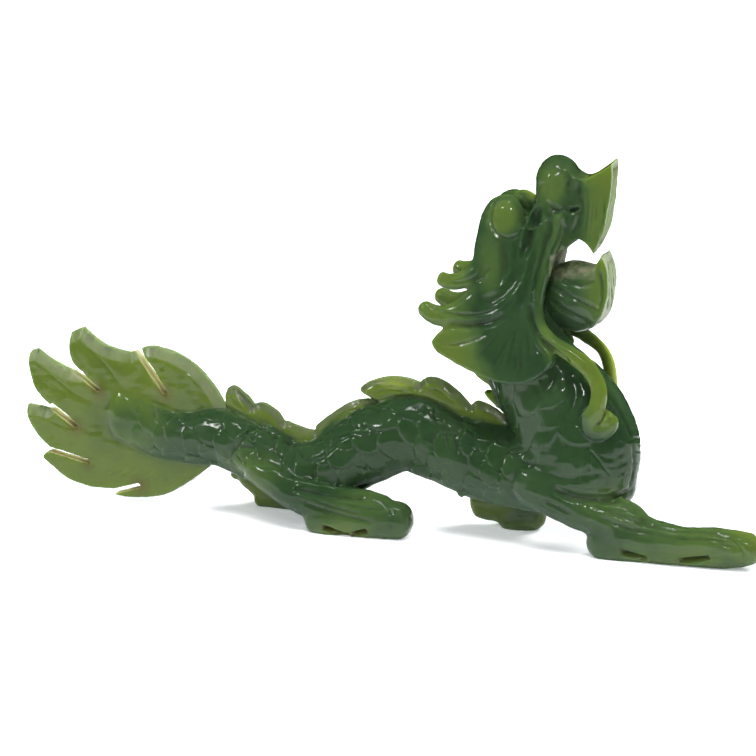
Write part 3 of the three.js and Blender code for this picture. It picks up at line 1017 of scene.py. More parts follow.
@dataclass(frozen=True)
class TailFin:
    """The fan of the tail: one leaf with slits sawn between its lobes."""

    leaf: Plate = Plate(
        (
            (-43, 29.4, 0), (-51.4, 39.8, 0.8), (-62.8, 43.8, 0.7), (-66.8, 42.7, 0.3),
            (-69.2, 41.8, 0), (-75.8, 42.8, -0.2), (-82.5, 47.7, -0.5), (-86.1, 46.1, 0.2),
            (-84.1, 35.3, 1.2), (-89.1, 36.6, -0.2), (-95.9, 40.8, -0.2), (-98.3, 39.6, 0.4),
            (-96.7, 30.4, 0.8), (-90.4, 24.4, 0.6), (-93.8, 24.7, 0), (-99.3, 25.3, 0.3),
            (-96.9, 17.9, 0.8), (-91.2, 13.1, 0.4), (-93.2, 12.7, 0.1), (-95.1, 11, 0.3),
            (-87.7, 5.7, 0.2), (-79, 3.6, 0.5), (-73.8, 3.9, 0.1), (-74.5, 2.3, 0),
            (-64.6, 2.3, 0.5), (-54.8, 6.2, 0.7), (-47, 12.4, 0.2), (-47, 22, 0),
        ),
        thick=3.8,
        chamfer=0.5,
    )
    # The slits: the wide end, the narrow end and the width at the wide end.
    slits: tuple[tuple[Spot, Spot, float], ...] = (
        ((-67.6, 43.6), (-59.2, 31.4), 1.85),
        ((-85.4, 36.4), (-78.2, 30.8), 1.6),
        ((-91.6, 25.2), (-85, 20.4), 1.6),
        ((-93, 13.4), (-81.4, 10.8), 1.45),
        ((-75.4, 2.9), (-67, 5.5), 1.3),
    )
    slit_end: float = 1.2
    bevel: Bevel = Bevel(2.9, 1.35, pale=0.36)

    def saws(self) -> list[Plate]:
        """The wedges that the slits are sawn with.

        Returns:
            The plates.
        """
        wedges = []
        for start, end, wide in self.slits:
            way = (Vector(end) - Vector(start)).normalized()
            aside = Vector((way.y, -way.x))
            mouth = Vector(start) - way
            spots = (
                mouth + aside * wide / 2,
                Vector(end) + aside * self.slit_end / 2,
                Vector(end) - aside * self.slit_end / 2,
                mouth - aside * wide / 2,
            )
            wedges.append(Plate(tuple((s.x, s.y, 0) for s in spots), self.leaf.thick * 2, 0))
        return wedges

    def upper_edges(self) -> list[Edge]:
        """The upper edges of the lobes, without the short ends of their tips."""
        return self.leaf.upper_edges(least=3.45)

    def strokes(self) -> list[Stroke]:
        """The rays of the fan.

        Returns:
            The strokes.
        """
        rays = (
            ((-72, 33), (-76, 38), (-82, 43.4)),
            ((-81, 27.4), (-86, 30), (-93.5, 35.4)),
            ((-82.6, 20.6), (-87, 19.8), (-94.5, 22)),
            ((-81.6, 14), (-86.4, 11.6), (-91, 11)),
            ((-61.8, 34), (-60.4, 38), (-58, 40)),
            ((-64.4, 38.6), (-62.6, 40.2), (-60.8, 40.8)),
        )
        return [Stroke(ray, 0.4, 0.16) for ray in rays]

    def scratches(self) -> list[Stroke]:
        """The fine parallel scratches low down on the fan.

        Returns:
            The strokes.
        """
        made = []
        for k in range(9):
            x, z = -78.5 + 2.3 * k, 8.6 - 0.15 * k
            made.append(Stroke(((x, z - 1.6), (x + 2.6, z), (x + 6, z + 2.6)), 0.32, 0.16, side=Side.RIGHT))
        return made


@dataclass(frozen=True)
class Crest:
    """The lobes down the back and the two spikes behind the neck."""

    thick: float = 3.6
    chamfer: float = 0.5
    bevel: Bevel = Bevel(1.6, 1.1, pale=0.15, dark=0.8)
    # The lobes down the back, from the tail on, and then the two spikes behind the neck.
    back_lobes: int = 7
    lobes: tuple[tuple[Corner, ...], ...] = (
        (
            (-43, 24, 0), (-42.5, 30.4, 0), (-41.9, 33.9, 0.2), (-39.9, 34.4, 0.3),
            (-34.3, 28.8, 0.4), (-32, 20, 0),
        ),
        (
            (-36.4, 22, 0), (-34.8, 29.4, 0), (-33.5, 30.2, 0.2), (-31.4, 30.1, 0.2),
            (-26.4, 25.7, 0.6), (-25, 16, 0),
        ),
        (
            (-28.6, 18, 0), (-26.6, 25.9, 0), (-24.6, 25.7, 0.2), (-20, 24.3, -0.1),
            (-15.2, 24.7, -0.2), (-14, 18, 0),
        ),
        ((-17.8, 20, 0), (-17.6, 25.5, 0), (-8.4, 32.6, 0.4), (-0.9, 33.4, 0.7), (0.6, 26, 0)),
        (
            (-1.2, 30, 0), (-1.2, 33.1, 0), (-5.4, 36, -0.4), (-3.6, 38.2, 0.3),
            (4.3, 40.4, 0.6), (11.4, 38.7, 0.5), (12, 30, 0),
        ),
        (
            (10, 30, 0), (10.4, 38.8, 0), (13.4, 40.9, 0.6), (17.9, 39.6, 0.3),
            (24.6, 33.2, 0.4), (26, 26, 0),
        ),
        (
            (23.6, 26, 0), (24.2, 34.2, 0), (25.7, 35.3, 0.2), (29.4, 34, 0.2),
            (35, 30.9, 0.1), (36, 24, 0),
        ),
        ((34, 38, 0), (31.6, 46, 0), (24.6, 43.6, 0), (28.6, 40.2, 0.3), (34, 33.6, 0.2)),
        ((37, 32, 0), (32.6, 38.2, 0), (27.4, 38.4, 0), (30.6, 35.2, 0.2), (37, 29.6, 0.2)),
    )

    def forms(self) -> list[Plate]:
        """The forms to be joined."""
        return [Plate(corners, self.thick, self.chamfer) for corners in self.lobes]

    def upper_edges(self) -> list[Edge]:
        """The upper edges of the lobes down the back.

        Returns:
            Both ends of each edge.
        """
        lobes = self.forms()
        edges = [lobes[k].upper_edges(lobes[:k] + lobes[k + 1 :]) for k in range(self.back_lobes)]
        return [edge for lobe in edges for edge in lobe]

    def strokes(self) -> list[Stroke]:
        """The groove along the foot of the lobes, and the lines on them.

        Returns:
            The strokes.
        """
        foot = (
            (-42.6, 29.2), (-37.5, 27.4), (-32.8, 25.4), (-29.2, 23), (-26.4, 21.4), (-22.3, 20.8),
            (-18.1, 21.9), (-15.4, 23.2), (-12.6, 25.2), (-8.5, 28.8), (-5.2, 31.2), (-0.4, 33.4),
            (5, 35.2), (8.3, 35.7), (11.7, 35.4), (15.8, 34.2), (19.8, 32.6), (23.8, 30.8), (27.8, 29.9),
        )
        lines = (
            ((-3, 37.2), (1, 38), (6.4, 37.6)),
            ((-2, 35.8), (3, 37), (8, 36.8)),
            ((12.2, 38.4), (16, 37.6), (20.4, 34.6)),
            ((-15, 25.8), (-9.6, 30), (-3, 32.2)),
            ((-40.8, 32), (-38.4, 30), (-36.6, 28.4)),
            ((-33, 28.8), (-30, 27.6), (-27.6, 25)),
            ((26, 33.6), (29, 32.4), (32, 31.2)),
        )
        return [Stroke(foot, 0.8, 0.7, reach=(0, 4)), *[Stroke(line, 0.5, 0.3) for line in lines]]


@dataclass(frozen=True)
class Head:
    """The raised head: open jaws with a fan-shaped lip, eyes, horns, whiskers and mane."""

    upper_horn: Sweep = Sweep(
        (
            (32.6, 5.2, 80.6, 1.8, 3.2), (28.9, 6.6, 73.4, 2.2, 2.8), (24.8, 7.2, 69, 2.1, 2.4),
            (20.2, 7.5, 67.9, 2, 2.2), (17, 7.6, 68.9, 1.6, 1.8),
        )
    )
    lower_horn: Sweep = Sweep(
        (
            (33, 6.8, 71, 2.2, 3.6), (28.4, 7.8, 65, 2.4, 3.4), (23, 8.2, 60.4, 2.3, 3),
            (17.4, 8.1, 59, 2.1, 2.7), (12.4, 7.9, 61.4, 1.5, 1.9),
        )
    )
    whisker_root: tuple[Station, ...] = (
        (48, 5.6, 87, 1.6, 1.4), (47.2, 6.4, 81.4, 1.8, 1.7), (45.4, 7.3, 75.6, 1.8, 1.7),
        (44.1, 8.1, 69.4, 1.8, 1.6), (43.4, 8.8, 63.8, 1.8, 1.5), (44, 9.4, 59, 1.8, 1.6),
        (47, 9.9, 54.9, 1.8, 1.8),
    )
    right_whisker: tuple[Station, ...] = (
        (52, 10, 51.8, 1.8, 2), (57, 10, 48.2, 1.8, 2.1), (59.6, 10.4, 43.4, 1.8, 2.1),
        (59.4, 11, 39.2, 1.9, 2.1), (57.9, 11.2, 35.8, 2, 2.5), (58, 11, 33.6, 2.1, 2.7),
        (60.2, 10.7, 33, 2.1, 2.6), (62.2, 10.3, 34.4, 2, 2.4), (63, 9.8, 37.2, 1.5, 1.3),
    )
    left_whisker: tuple[Station, ...] = (
        (51.2, 10, 52.4, 1.6, 1.6), (55.8, 10, 48.8, 1.6, 1.6), (57.8, 10.2, 43.8, 1.6, 1.6),
        (58.2, 10.9, 38.6, 1.7, 1.6), (59.6, 11, 34.6, 1.7, 1.7), (62, 10.4, 33.4, 1.6, 1.6),
    )
    # The leaf that fills the right whisker's curl.
    curl: Ball = Ball((60.6, -10.4, 35.6), (3.3, 2.2, 3))
    eye: Ball = Ball((34.4, 5.4, 84.6), (4.1, 2.9, 4.8))
    # The ring that is cut round the eye.
    rim_centre: Spot = (35.1, 84.9)
    rim_half: Spot = (4.4, 5.1)
    # The rounded ridge from the upper horn to the brow, which the eye stands on.
    brow: Sweep = Sweep(
        (
            (29, 6, 70, 3.4, 3.6), (30.4, 5.6, 76, 3.2, 4.4), (33, 4.8, 83, 3, 5.4),
            (35, 4.4, 89.8, 2.6, 4.4),
        ),
        caps=(3.6, 4.4),
    )
    nose: Sweep = Sweep(
        (
            (46.2, 0, 84, 5.8, 5.4), (46, 0, 90, 6.3, 5.6), (46.2, 0, 95, 6.4, 5.5),
            (46.9, 0, 99.9, 6, 5.2),
        ),
        around=40,
        caps=(2, 6.5),
    )
    # The low ridge between the brows, higher towards the left one.
    crown: Sweep = Sweep(
        ((33, 1, 84, 3, 3), (36.9, 1.4, 88.4, 2.8, 2.4), (40.2, 1.4, 85.4, 2.4, 2.2)),
        around=24,
        along=24,
    )
    jaw: Ball = Ball((51.6, 0, 64.8), (9.2, 7, 9))
    snout_corners: tuple[Corner, ...] = (
        (38, 83, 0), (42.6, 90, 0), (44, 95.6, 0.4), (49.2, 97.4, 0.6), (53.2, 94.8, -0.6),
        (60.3, 99.4, -0.4), (59.4, 87, 0.5), (56, 76.2, 0.7), (51.8, 80, -0.6),
        (46.6, 76.4, 0.7), (43.6, 70, -0.4), (36, 70, 0),
    )
    snout_rear: float = 11.6
    snout_front: float = 7.8
    snout_run: Spot = (42, 60)
    lip: Plate = Plate(
        (
            (52, 71, 0), (55.8, 72.2, 0), (58.2, 75.9, -0.3), (60.2, 70, 0.5),
            (59.4, 63.6, 0.3), (56, 57.6, 0.5), (52, 62, 0),
        ),
        thick=10.6,
        chamfer=0.5,
    )
    # The side of the face, from the brow down into the fan of the mane.
    face_corners: tuple[Corner, ...] = (
        (31, 84, 0), (28.4, 80, 0.2), (27, 72, 0.3), (29, 66, 0), (26, 60, 0),
        (20, 56.6, 0), (16.3, 52.6, 0.3), (18.4, 49.8, 0.3), (27.6, 45.8, 0.3), (37.4, 43.6, 0.5),
        (45.8, 46.8, 0.9), (48.2, 50.2, 0.3), (45.4, 58, 0), (44.6, 65, -0.3), (46.6, 75, -0.4),
        (48.8, 82, 0), (47.8, 86.2, 0), (44, 84.8, 0), (40, 83, 0),
    )
    face_thick: float = 5.0
    # Where the mane's tip starts, over what length it thickens, and the least share of the thickness.
    tip_start: float = 14.0
    tip_run: float = 16.0
    tip_share: float = 0.45
    # How far out the face's middle plane lies at some heights: (z, y).
    face_lean: tuple[Spot, ...] = ((44, 10.4), (50, 9.9), (60, 8.4), (70, 7), (80, 5.4), (88, 4))

    def snout(self) -> Plate:
        """The upper jaw, narrower towards the front.

        Returns:
            The plate.
        """

        def lean(place: Vector) -> float:
            """How far aside a place lies once the jaw is narrowed."""
            start, end = self.snout_run
            t = min(max((place.x - start) / (end - start), 0), 1)
            return place.y * (1 + (self.snout_front / self.snout_rear - 1) * t)

        return Plate(self.snout_corners, thick=self.snout_rear, chamfer=0.6, lean=lean)

    def face(self, side: Side) -> Plate:
        """Shapes a side of the face, which leans outwards as it comes down and thins to the mane's tip.

        Args:
            side: the side.

        Returns:
            The plate.
        """
        heights, ways = zip(*self.face_lean)

        def lean(place: Vector) -> float:
            """How far aside a place lies once the face leans."""
            thin = min(max((place.x - self.tip_start) / self.tip_run, self.tip_share), 1)
            return place.y * thin + side.value * float(np.interp(place.z, heights, ways))

        return Plate(self.face_corners, self.face_thick, chamfer=0.8, lean=lean)

    def forms(self) -> list[Form]:
        """The forms to be joined.

        Returns:
            The forms.
        """
        made: list[Form] = [self.nose, self.curl, self.crown, self.jaw, self.lip, self.snout()]
        for side, whisker in ((Side.RIGHT, self.right_whisker), (Side.LEFT, self.left_whisker)):
            made += [form.on(side) for form in (self.upper_horn, self.lower_horn, self.eye, self.brow)]
            made.append(Sweep(self.whisker_root + whisker, around=24, along=120).on(side))
            made.append(self.face(side))
        return made

    def hair(self) -> list[Stroke]:
        """The locks that flow from the eye and the cheek into the horns, and the fan of the mane.

        Returns:
            The strokes.
        """
        hollows = (
            (((42.2, 88), (41.5, 85), (40.8, 81.6), (39.9, 78), (38.9, 74)), 1.9, 2.2),
            (((39.6, 77), (38.4, 72), (35.8, 67.6), (32, 64.6), (27.6, 63.2)), 2.2, 0.9),
            (((33.4, 79.6), (34.6, 74.6), (34, 69.6), (31.6, 66.6)), 1.5, 0.7),
            (((37.2, 80), (37.4, 75.6), (36.2, 71)), 1.2, 0.6),
            (((42.6, 80), (41.4, 73), (40, 66.6), (38.4, 60.6)), 1.7, 0.9),
            (((35.8, 61.4), (31.6, 58.8), (26.4, 57.6), (20.6, 57.4)), 1.5, 1.1),
            (((30.6, 72.4), (29, 69.8), (26, 68.6)), 1, 0.7),
        )
        lines = (
            (((45.2, 86.2), (45.7, 82.4), (44, 76.6), (42.7, 70.6), (42, 64.6)), 1.1, 1.1),
            (((42, 64.6), (42.3, 60), (44.5, 56), (48.5, 52.6), (52.6, 49.8)), 1.1, 1.1),
            (((36.4, 66), (33, 62.2), (28, 60.4), (21.6, 60.2), (15.4, 61.2)), 0.7, 0.45),
            (((29.4, 72), (26.4, 69.2), (22.6, 68), (18.8, 68.4)), 0.7, 0.4),
            (((40.6, 72), (38.6, 66), (35, 62.4)), 0.7, 0.4),
        )
        fan = (
            ((38.2, 57.6), (37.4, 52), (36.4, 46.6)),
            ((39.9, 55.4), (40, 50), (40.1, 46)),
            ((40.9, 57.8), (42.1, 51.6), (43.5, 47.2)),
            ((42.4, 55.6), (44.3, 52.4), (46.2, 50.2)),
            ((36.8, 56), (34.8, 51.2), (32.8, 47.4)),
            ((35.2, 58.4), (31.6, 53), (28.6, 49.6)),
            ((39, 53), (38.7, 49), (38.4, 46.4)),
            ((41.2, 53.4), (41.8, 50.2), (42.2, 47.6)),
            ((36, 52.4), (35, 49.6), (34.4, 47.4)),
            ((31, 56), (26, 53.4), (21, 52)),
        )
        in_curl = ((59.8, 34.6), (61, 36.4), (62, 38.4))
        return [
            *cuts(hollows, cut=Cut.HOLLOW, taper=4.0),
            *cuts(lines),
            *[Stroke(path, 0.65, 0.4) for path in fan],
            Stroke(in_curl, 0.6, 0.8, side=Side.RIGHT, taper=0.8),
        ]

    def features(self) -> list[Stroke]:
        """The rim of the eye, the nostril, and the lines of the snout, the jaw and the lips.

        Returns:
            The strokes.
        """
        hollows = (
            (((52.9, 95.4), (52.2, 92), (52.9, 88.4), (52.4, 84), (51.4, 80.4)), 1.4, 0.8),
            (((50.6, 97), (49.8, 93.4), (50.2, 90.2)), 1, 0.6),
            (((47.6, 96.6), (47.2, 93.4), (47.8, 90.4)), 1, 0.35),
            (((43.6, 96), (43, 92.6), (43.8, 89.6)), 1, 0.3),
        )
        lines = (
            (((43.8, 89.4), (46.4, 87.4), (49.6, 87)), 1.2, 0.9),
            (((49, 86), (48.6, 82), (46.8, 77.4), (45.4, 72)), 1, 0.9),
            (((46, 70.6), (50, 69.4), (54, 68.6), (57.6, 70.4)), 0.9, 0.5),
            (((45.6, 68), (50, 66.4), (55, 64), (59, 61.6)), 1, 0.6),
            (((45.4, 64.8), (49, 62.4), (54, 59.6), (57.4, 58.4)), 1, 0.6),
            (((57.8, 73.4), (58.6, 69.6), (58.8, 65), (57.6, 60.6)), 0.8, 0.6),
        )
        (x, z), (wide, high) = self.rim_centre, self.rim_half
        turns = np.linspace(0, 2 * math.pi, 17)
        rim = tuple((x + wide * math.sin(turn), z + high * math.cos(turn)) for turn in turns)
        strokes = [
            Stroke(rim, 0.8, 0.5, taper=0),
            Stroke(((50, 87.2), (51.4, 87.2), (52.9, 87.8)), 0.9, 1.5, Cut.HOLLOW, taper=0.8),
            *cuts(hollows, cut=Cut.HOLLOW),
            *cuts(lines),
        ]
        for k in range(6):
            top = 53.9 + 0.95 * k
            line = ((top, 92.6 - 0.3 * k), (top - 0.2, 86), (top - 0.9, 79.6 - 0.2 * k))
            strokes.append(Stroke(line, 0.7, 0.2 + 0.06 * (k * 7 % 4)))
        return strokes

    def lip_lines(self) -> list[Stroke]:
        """The lines down the fronts of both lips.

        Returns:
            The strokes.
        """
        made = []
        for k in range(-2, 3):
            upper = ((1.1 * k, 97.4), (1.4 * k, 88), (1.2 * k, 78.4))
            made.append(Stroke(upper, 0.5, 0.35, reach=(54, 62), face=Face.FRONT))
        for k in (-1.5, -0.5, 0.5, 1.5):
            lower = ((1.8 * k, 74), (2.3 * k, 69), (2.0 * k, 62.6))
            made.append(Stroke(lower, 0.7, 0.6, reach=(55, 62), face=Face.FRONT))
        return made

    def strokes(self) -> list[Stroke]:
        """The features of the face, and the hair of the mane."""
        return self.hair() + self.features() + self.lip_lines()


# ---- Materials ----


@dataclass(frozen=True)
class Value:
    """A number that varies over the surface: an expression on values adds its Math nodes."""

    nodes: "Nodes"
    socket: bpy.types.NodeSocket

    def __add__(self, other: "Value | float") -> "Value":
        """Sum."""
        return self.nodes.math("ADD", self, other)

    def __sub__(self, other: "Value | float") -> "Value":
        """Difference."""
        return self.nodes.math("SUBTRACT", self, other)

    def __rsub__(self, other: "Value | float") -> "Value":
        """Difference from a number on the left."""
        return self.nodes.math("SUBTRACT", other, self)

    def __mul__(self, other: "Value | float") -> "Value":
        """Product."""
        return self.nodes.math("MULTIPLY", self, other)

    __radd__ = __add__
    __rmul__ = __mul__

    def clamped(self) -> "Value":
        """The value held between 0 and 1."""
        return self.nodes.math("MINIMUM", self.nodes.math("MAXIMUM", self, 0.0), 1.0)

    def between(self, low: float, high: float) -> "Value":
        """0 at low and below, 1 at high and above."""
        return ((self - low) * (1 / (high - low))).clamped()


class Nodes:
    """The node tree of one material."""

    def __init__(self, name: str) -> None:
        """Starts a material with an empty tree.

        Args:
            name: the material's name.
        """
        self.material = bpy.data.materials.new(name)
        self.material.use_nodes = True
        self.tree = self.material.node_tree
        self.tree.nodes.clear()

    def add(self, kind: str, settings: dict | None = None, inputs: dict | None = None) -> bpy.types.Node:
        """Adds a node.

        Args:
            kind: the node's type.
            settings: properties that are set first; "stops" are a ramp's places and colours.
            inputs: values or links of its sockets, by name or number.

        Returns:
            The node.
        """
        node = self.tree.nodes.new(kind)
        for name, value in (settings or {}).items():
            if name == "stops":
                ramp = node.color_ramp
                while len(ramp.elements) < len(value):
                    ramp.elements.new(0.5)
                for element, (place, colour) in zip(ramp.elements, value):
                    element.position = place
                    element.color = (*colour, 1.0)
            else:
                setattr(node, name, value)
        for name, value in (inputs or {}).items():
            socket = node.inputs[name]
            if isinstance(value, Value):
                value = value.socket
            if isinstance(value, bpy.types.NodeSocket):
                self.tree.links.new(value, socket)
            else:
                socket.default_value = value
        return node

    def math(self, operation: str, *values: Value | float) -> Value:
        """Adds a Math node and returns its value."""
        node = self.add("ShaderNodeMath", {"operation": operation}, dict(enumerate(values)))
        return Value(self, node.outputs[0])

    def attribute(self, name: str) -> Value:
        """A number kept on the mesh."""
        node = self.add("ShaderNodeAttribute", {"attribute_type": "GEOMETRY", "attribute_name": name})
        return Value(self, node.outputs["Fac"])

    def noise(self, scale: float, detail: float = 3.0) -> Value:
        """Adds cloudy noise on Object coordinates.

        Args:
            scale: how many clouds there are in a metre.
            detail: how much finer noise lies on them.

        Returns:
            The noise, from 0 to 1.
        """
        place = self.add("ShaderNodeTexCoord").outputs["Object"]
        inputs = {"Vector": place, "Scale": scale, "Detail": detail, "Roughness": 0.55}
        return Value(self, self.add("ShaderNodeTexNoise", inputs=inputs).outputs["Fac"])

    def mix(
        self,
        how_much: Value,
        start: bpy.types.NodeSocket | Colour,
        end: bpy.types.NodeSocket | Colour,
    ) -> bpy.types.NodeSocket:
        """Mixes two colours.

        Args:
            how_much: the share of the second colour.
            start: the first colour.
            end: the second colour.

        Returns:
            The mixed colour.
        """
        colours = [c if isinstance(c, bpy.types.NodeSocket) else (*c, 1.0) for c in (start, end)]
        node = self.add("ShaderNodeMix", {"data_type": "RGBA"}, {0: how_much, 6: colours[0], 7: colours[1]})
        return node.outputs[2]

    def surface(self, inputs: dict, settings: dict | None = None) -> bpy.types.Material:
        """Ends the tree in a Principled shader.

        Args:
            inputs: values or links of the shader's sockets.
            settings: its properties.

        Returns:
            The finished material.
        """
        shader = self.add("ShaderNodeBsdfPrincipled", settings, inputs)
        self.add("ShaderNodeOutputMaterial", inputs={"Surface": shader.outputs[0]})
        return self.material


@dataclass(frozen=True)
class PolishedJade:
    """Polished nephrite: dark green where thick, yellow-green where thin as painted light coming through its
    walls, with brown stains; it also carries painted glow, shade and sheen.
    """

    deep: Colour = (0.022, 0.050, 0.018)
    middle: Colour = (0.062, 0.104, 0.028)
    thin: Colour = (0.098, 0.140, 0.021)
    # Painted glow of stone lit from behind, where a patch raises the thinness above 1.
    lit: Colour = (0.300, 0.360, 0.060)
    cloud: Colour = (0.075, 0.120, 0.055)
    # Darker mottling of the stone itself, and painted shade on the undersides.
    mottle_and_shade: Colour = (0.012, 0.034, 0.016)
    # Painted shade in grooves and recesses.
    crease_shade: Colour = (0.012, 0.030, 0.010)
    stain: Colour = (0.080, 0.052, 0.018)
    dust: Colour = (0.145, 0.150, 0.090)
    # Painted sheen: bevels and lip fronts painted pale as a reflection of bright light; the lip fronts are
    # also ground matte.
    ground: Colour = (0.320, 0.335, 0.270)
    # The sawn walls' pale tan, made brighter to paint the light that glows through them in the slits' shade.
    sawn: Colour = (0.480, 0.440, 0.230)
    # Painted dark edges of the leaves, standing for the dark surroundings their sides reflect.
    edge: Colour = (0.030, 0.040, 0.016)
    roughness: float = 0.10
    gloss: float = 0.19
    ior: float = 1.61
    depth: float = 0.0035
    depth_shares: Colour = (0.55, 1.0, 0.30)

    def material(self) -> bpy.types.Material:
        """Makes the material: layers of colour, the polish, and the fine unevenness under it.

        Returns:
            The material.
        """
        nodes = Nodes("polished_jade")
        thin, groove, stain, rough, ground, sawn, rim, under = (nodes.attribute(name) for name in MASKS)
        clouds = nodes.noise(45.0, 5.0)
        patches = nodes.noise(70.0, 4.0).between(0.5, 0.75)
        grain = nodes.noise(420.0, 4.0)
        body = self.deep
        for share, colour in (
            # Painted light coming through thin walls, and the painted glow of stone lit from behind.
            (thin.between(0.0, 0.5), self.middle),
            (thin.between(0.35, 1.0), self.thin),
            (thin.between(1.0, 2.0), self.lit),
            (clouds.between(0.45, 0.75) * (0.30 - 0.25 * thin), self.cloud),
            # The stone's own darker mottling.
            (patches * (0.55 - 0.3 * thin), self.mottle_and_shade),
            # Painted dark edges of the leaves.
            (rim * 0.7, self.edge),
            # Painted shade on faces turned down.
            (under * 0.35, self.mottle_and_shade),
            # Painted shade in the grooves, which are also made less glossy.
            (groove.between(0.2, 1.0) * 0.45, self.crease_shade),
            (sawn * 0.9, self.sawn),
            (stain, self.stain),
            (rough * (0.25 + grain.between(0.4, 0.6) * 0.75), self.dust),
            # Painted sheen on the bevels and on the ground lip fronts.
            (ground * (0.6 + 0.4 * clouds), self.ground),
        ):
            body = nodes.mix(share, body, colour)
        shine = self.roughness + 0.06 * clouds + 0.42 * rough + 0.12 * groove
        shine = shine + 0.35 * ground + 0.45 * under
        height = 0.4 * nodes.noise(260.0, 3.0) + 0.25 * nodes.noise(800.0, 2.0) + rough * grain
        bump = nodes.add("ShaderNodeBump", inputs={"Strength": 0.25, "Distance": 0.0004, "Height": height})
        inputs = {
            "Base Color": body,
            "Roughness": shine.clamped(),
            "IOR": self.ior,
            "Specular IOR Level": self.gloss,
            "Normal": bump.outputs[0],
            "Subsurface Weight": 0.75,
            "Subsurface Radius": self.depth_shares,
            "Subsurface Scale": self.depth,
        }
        return nodes.surface(inputs, {"subsurface_method": "RANDOM_WALK"})


# ---- The carving ----


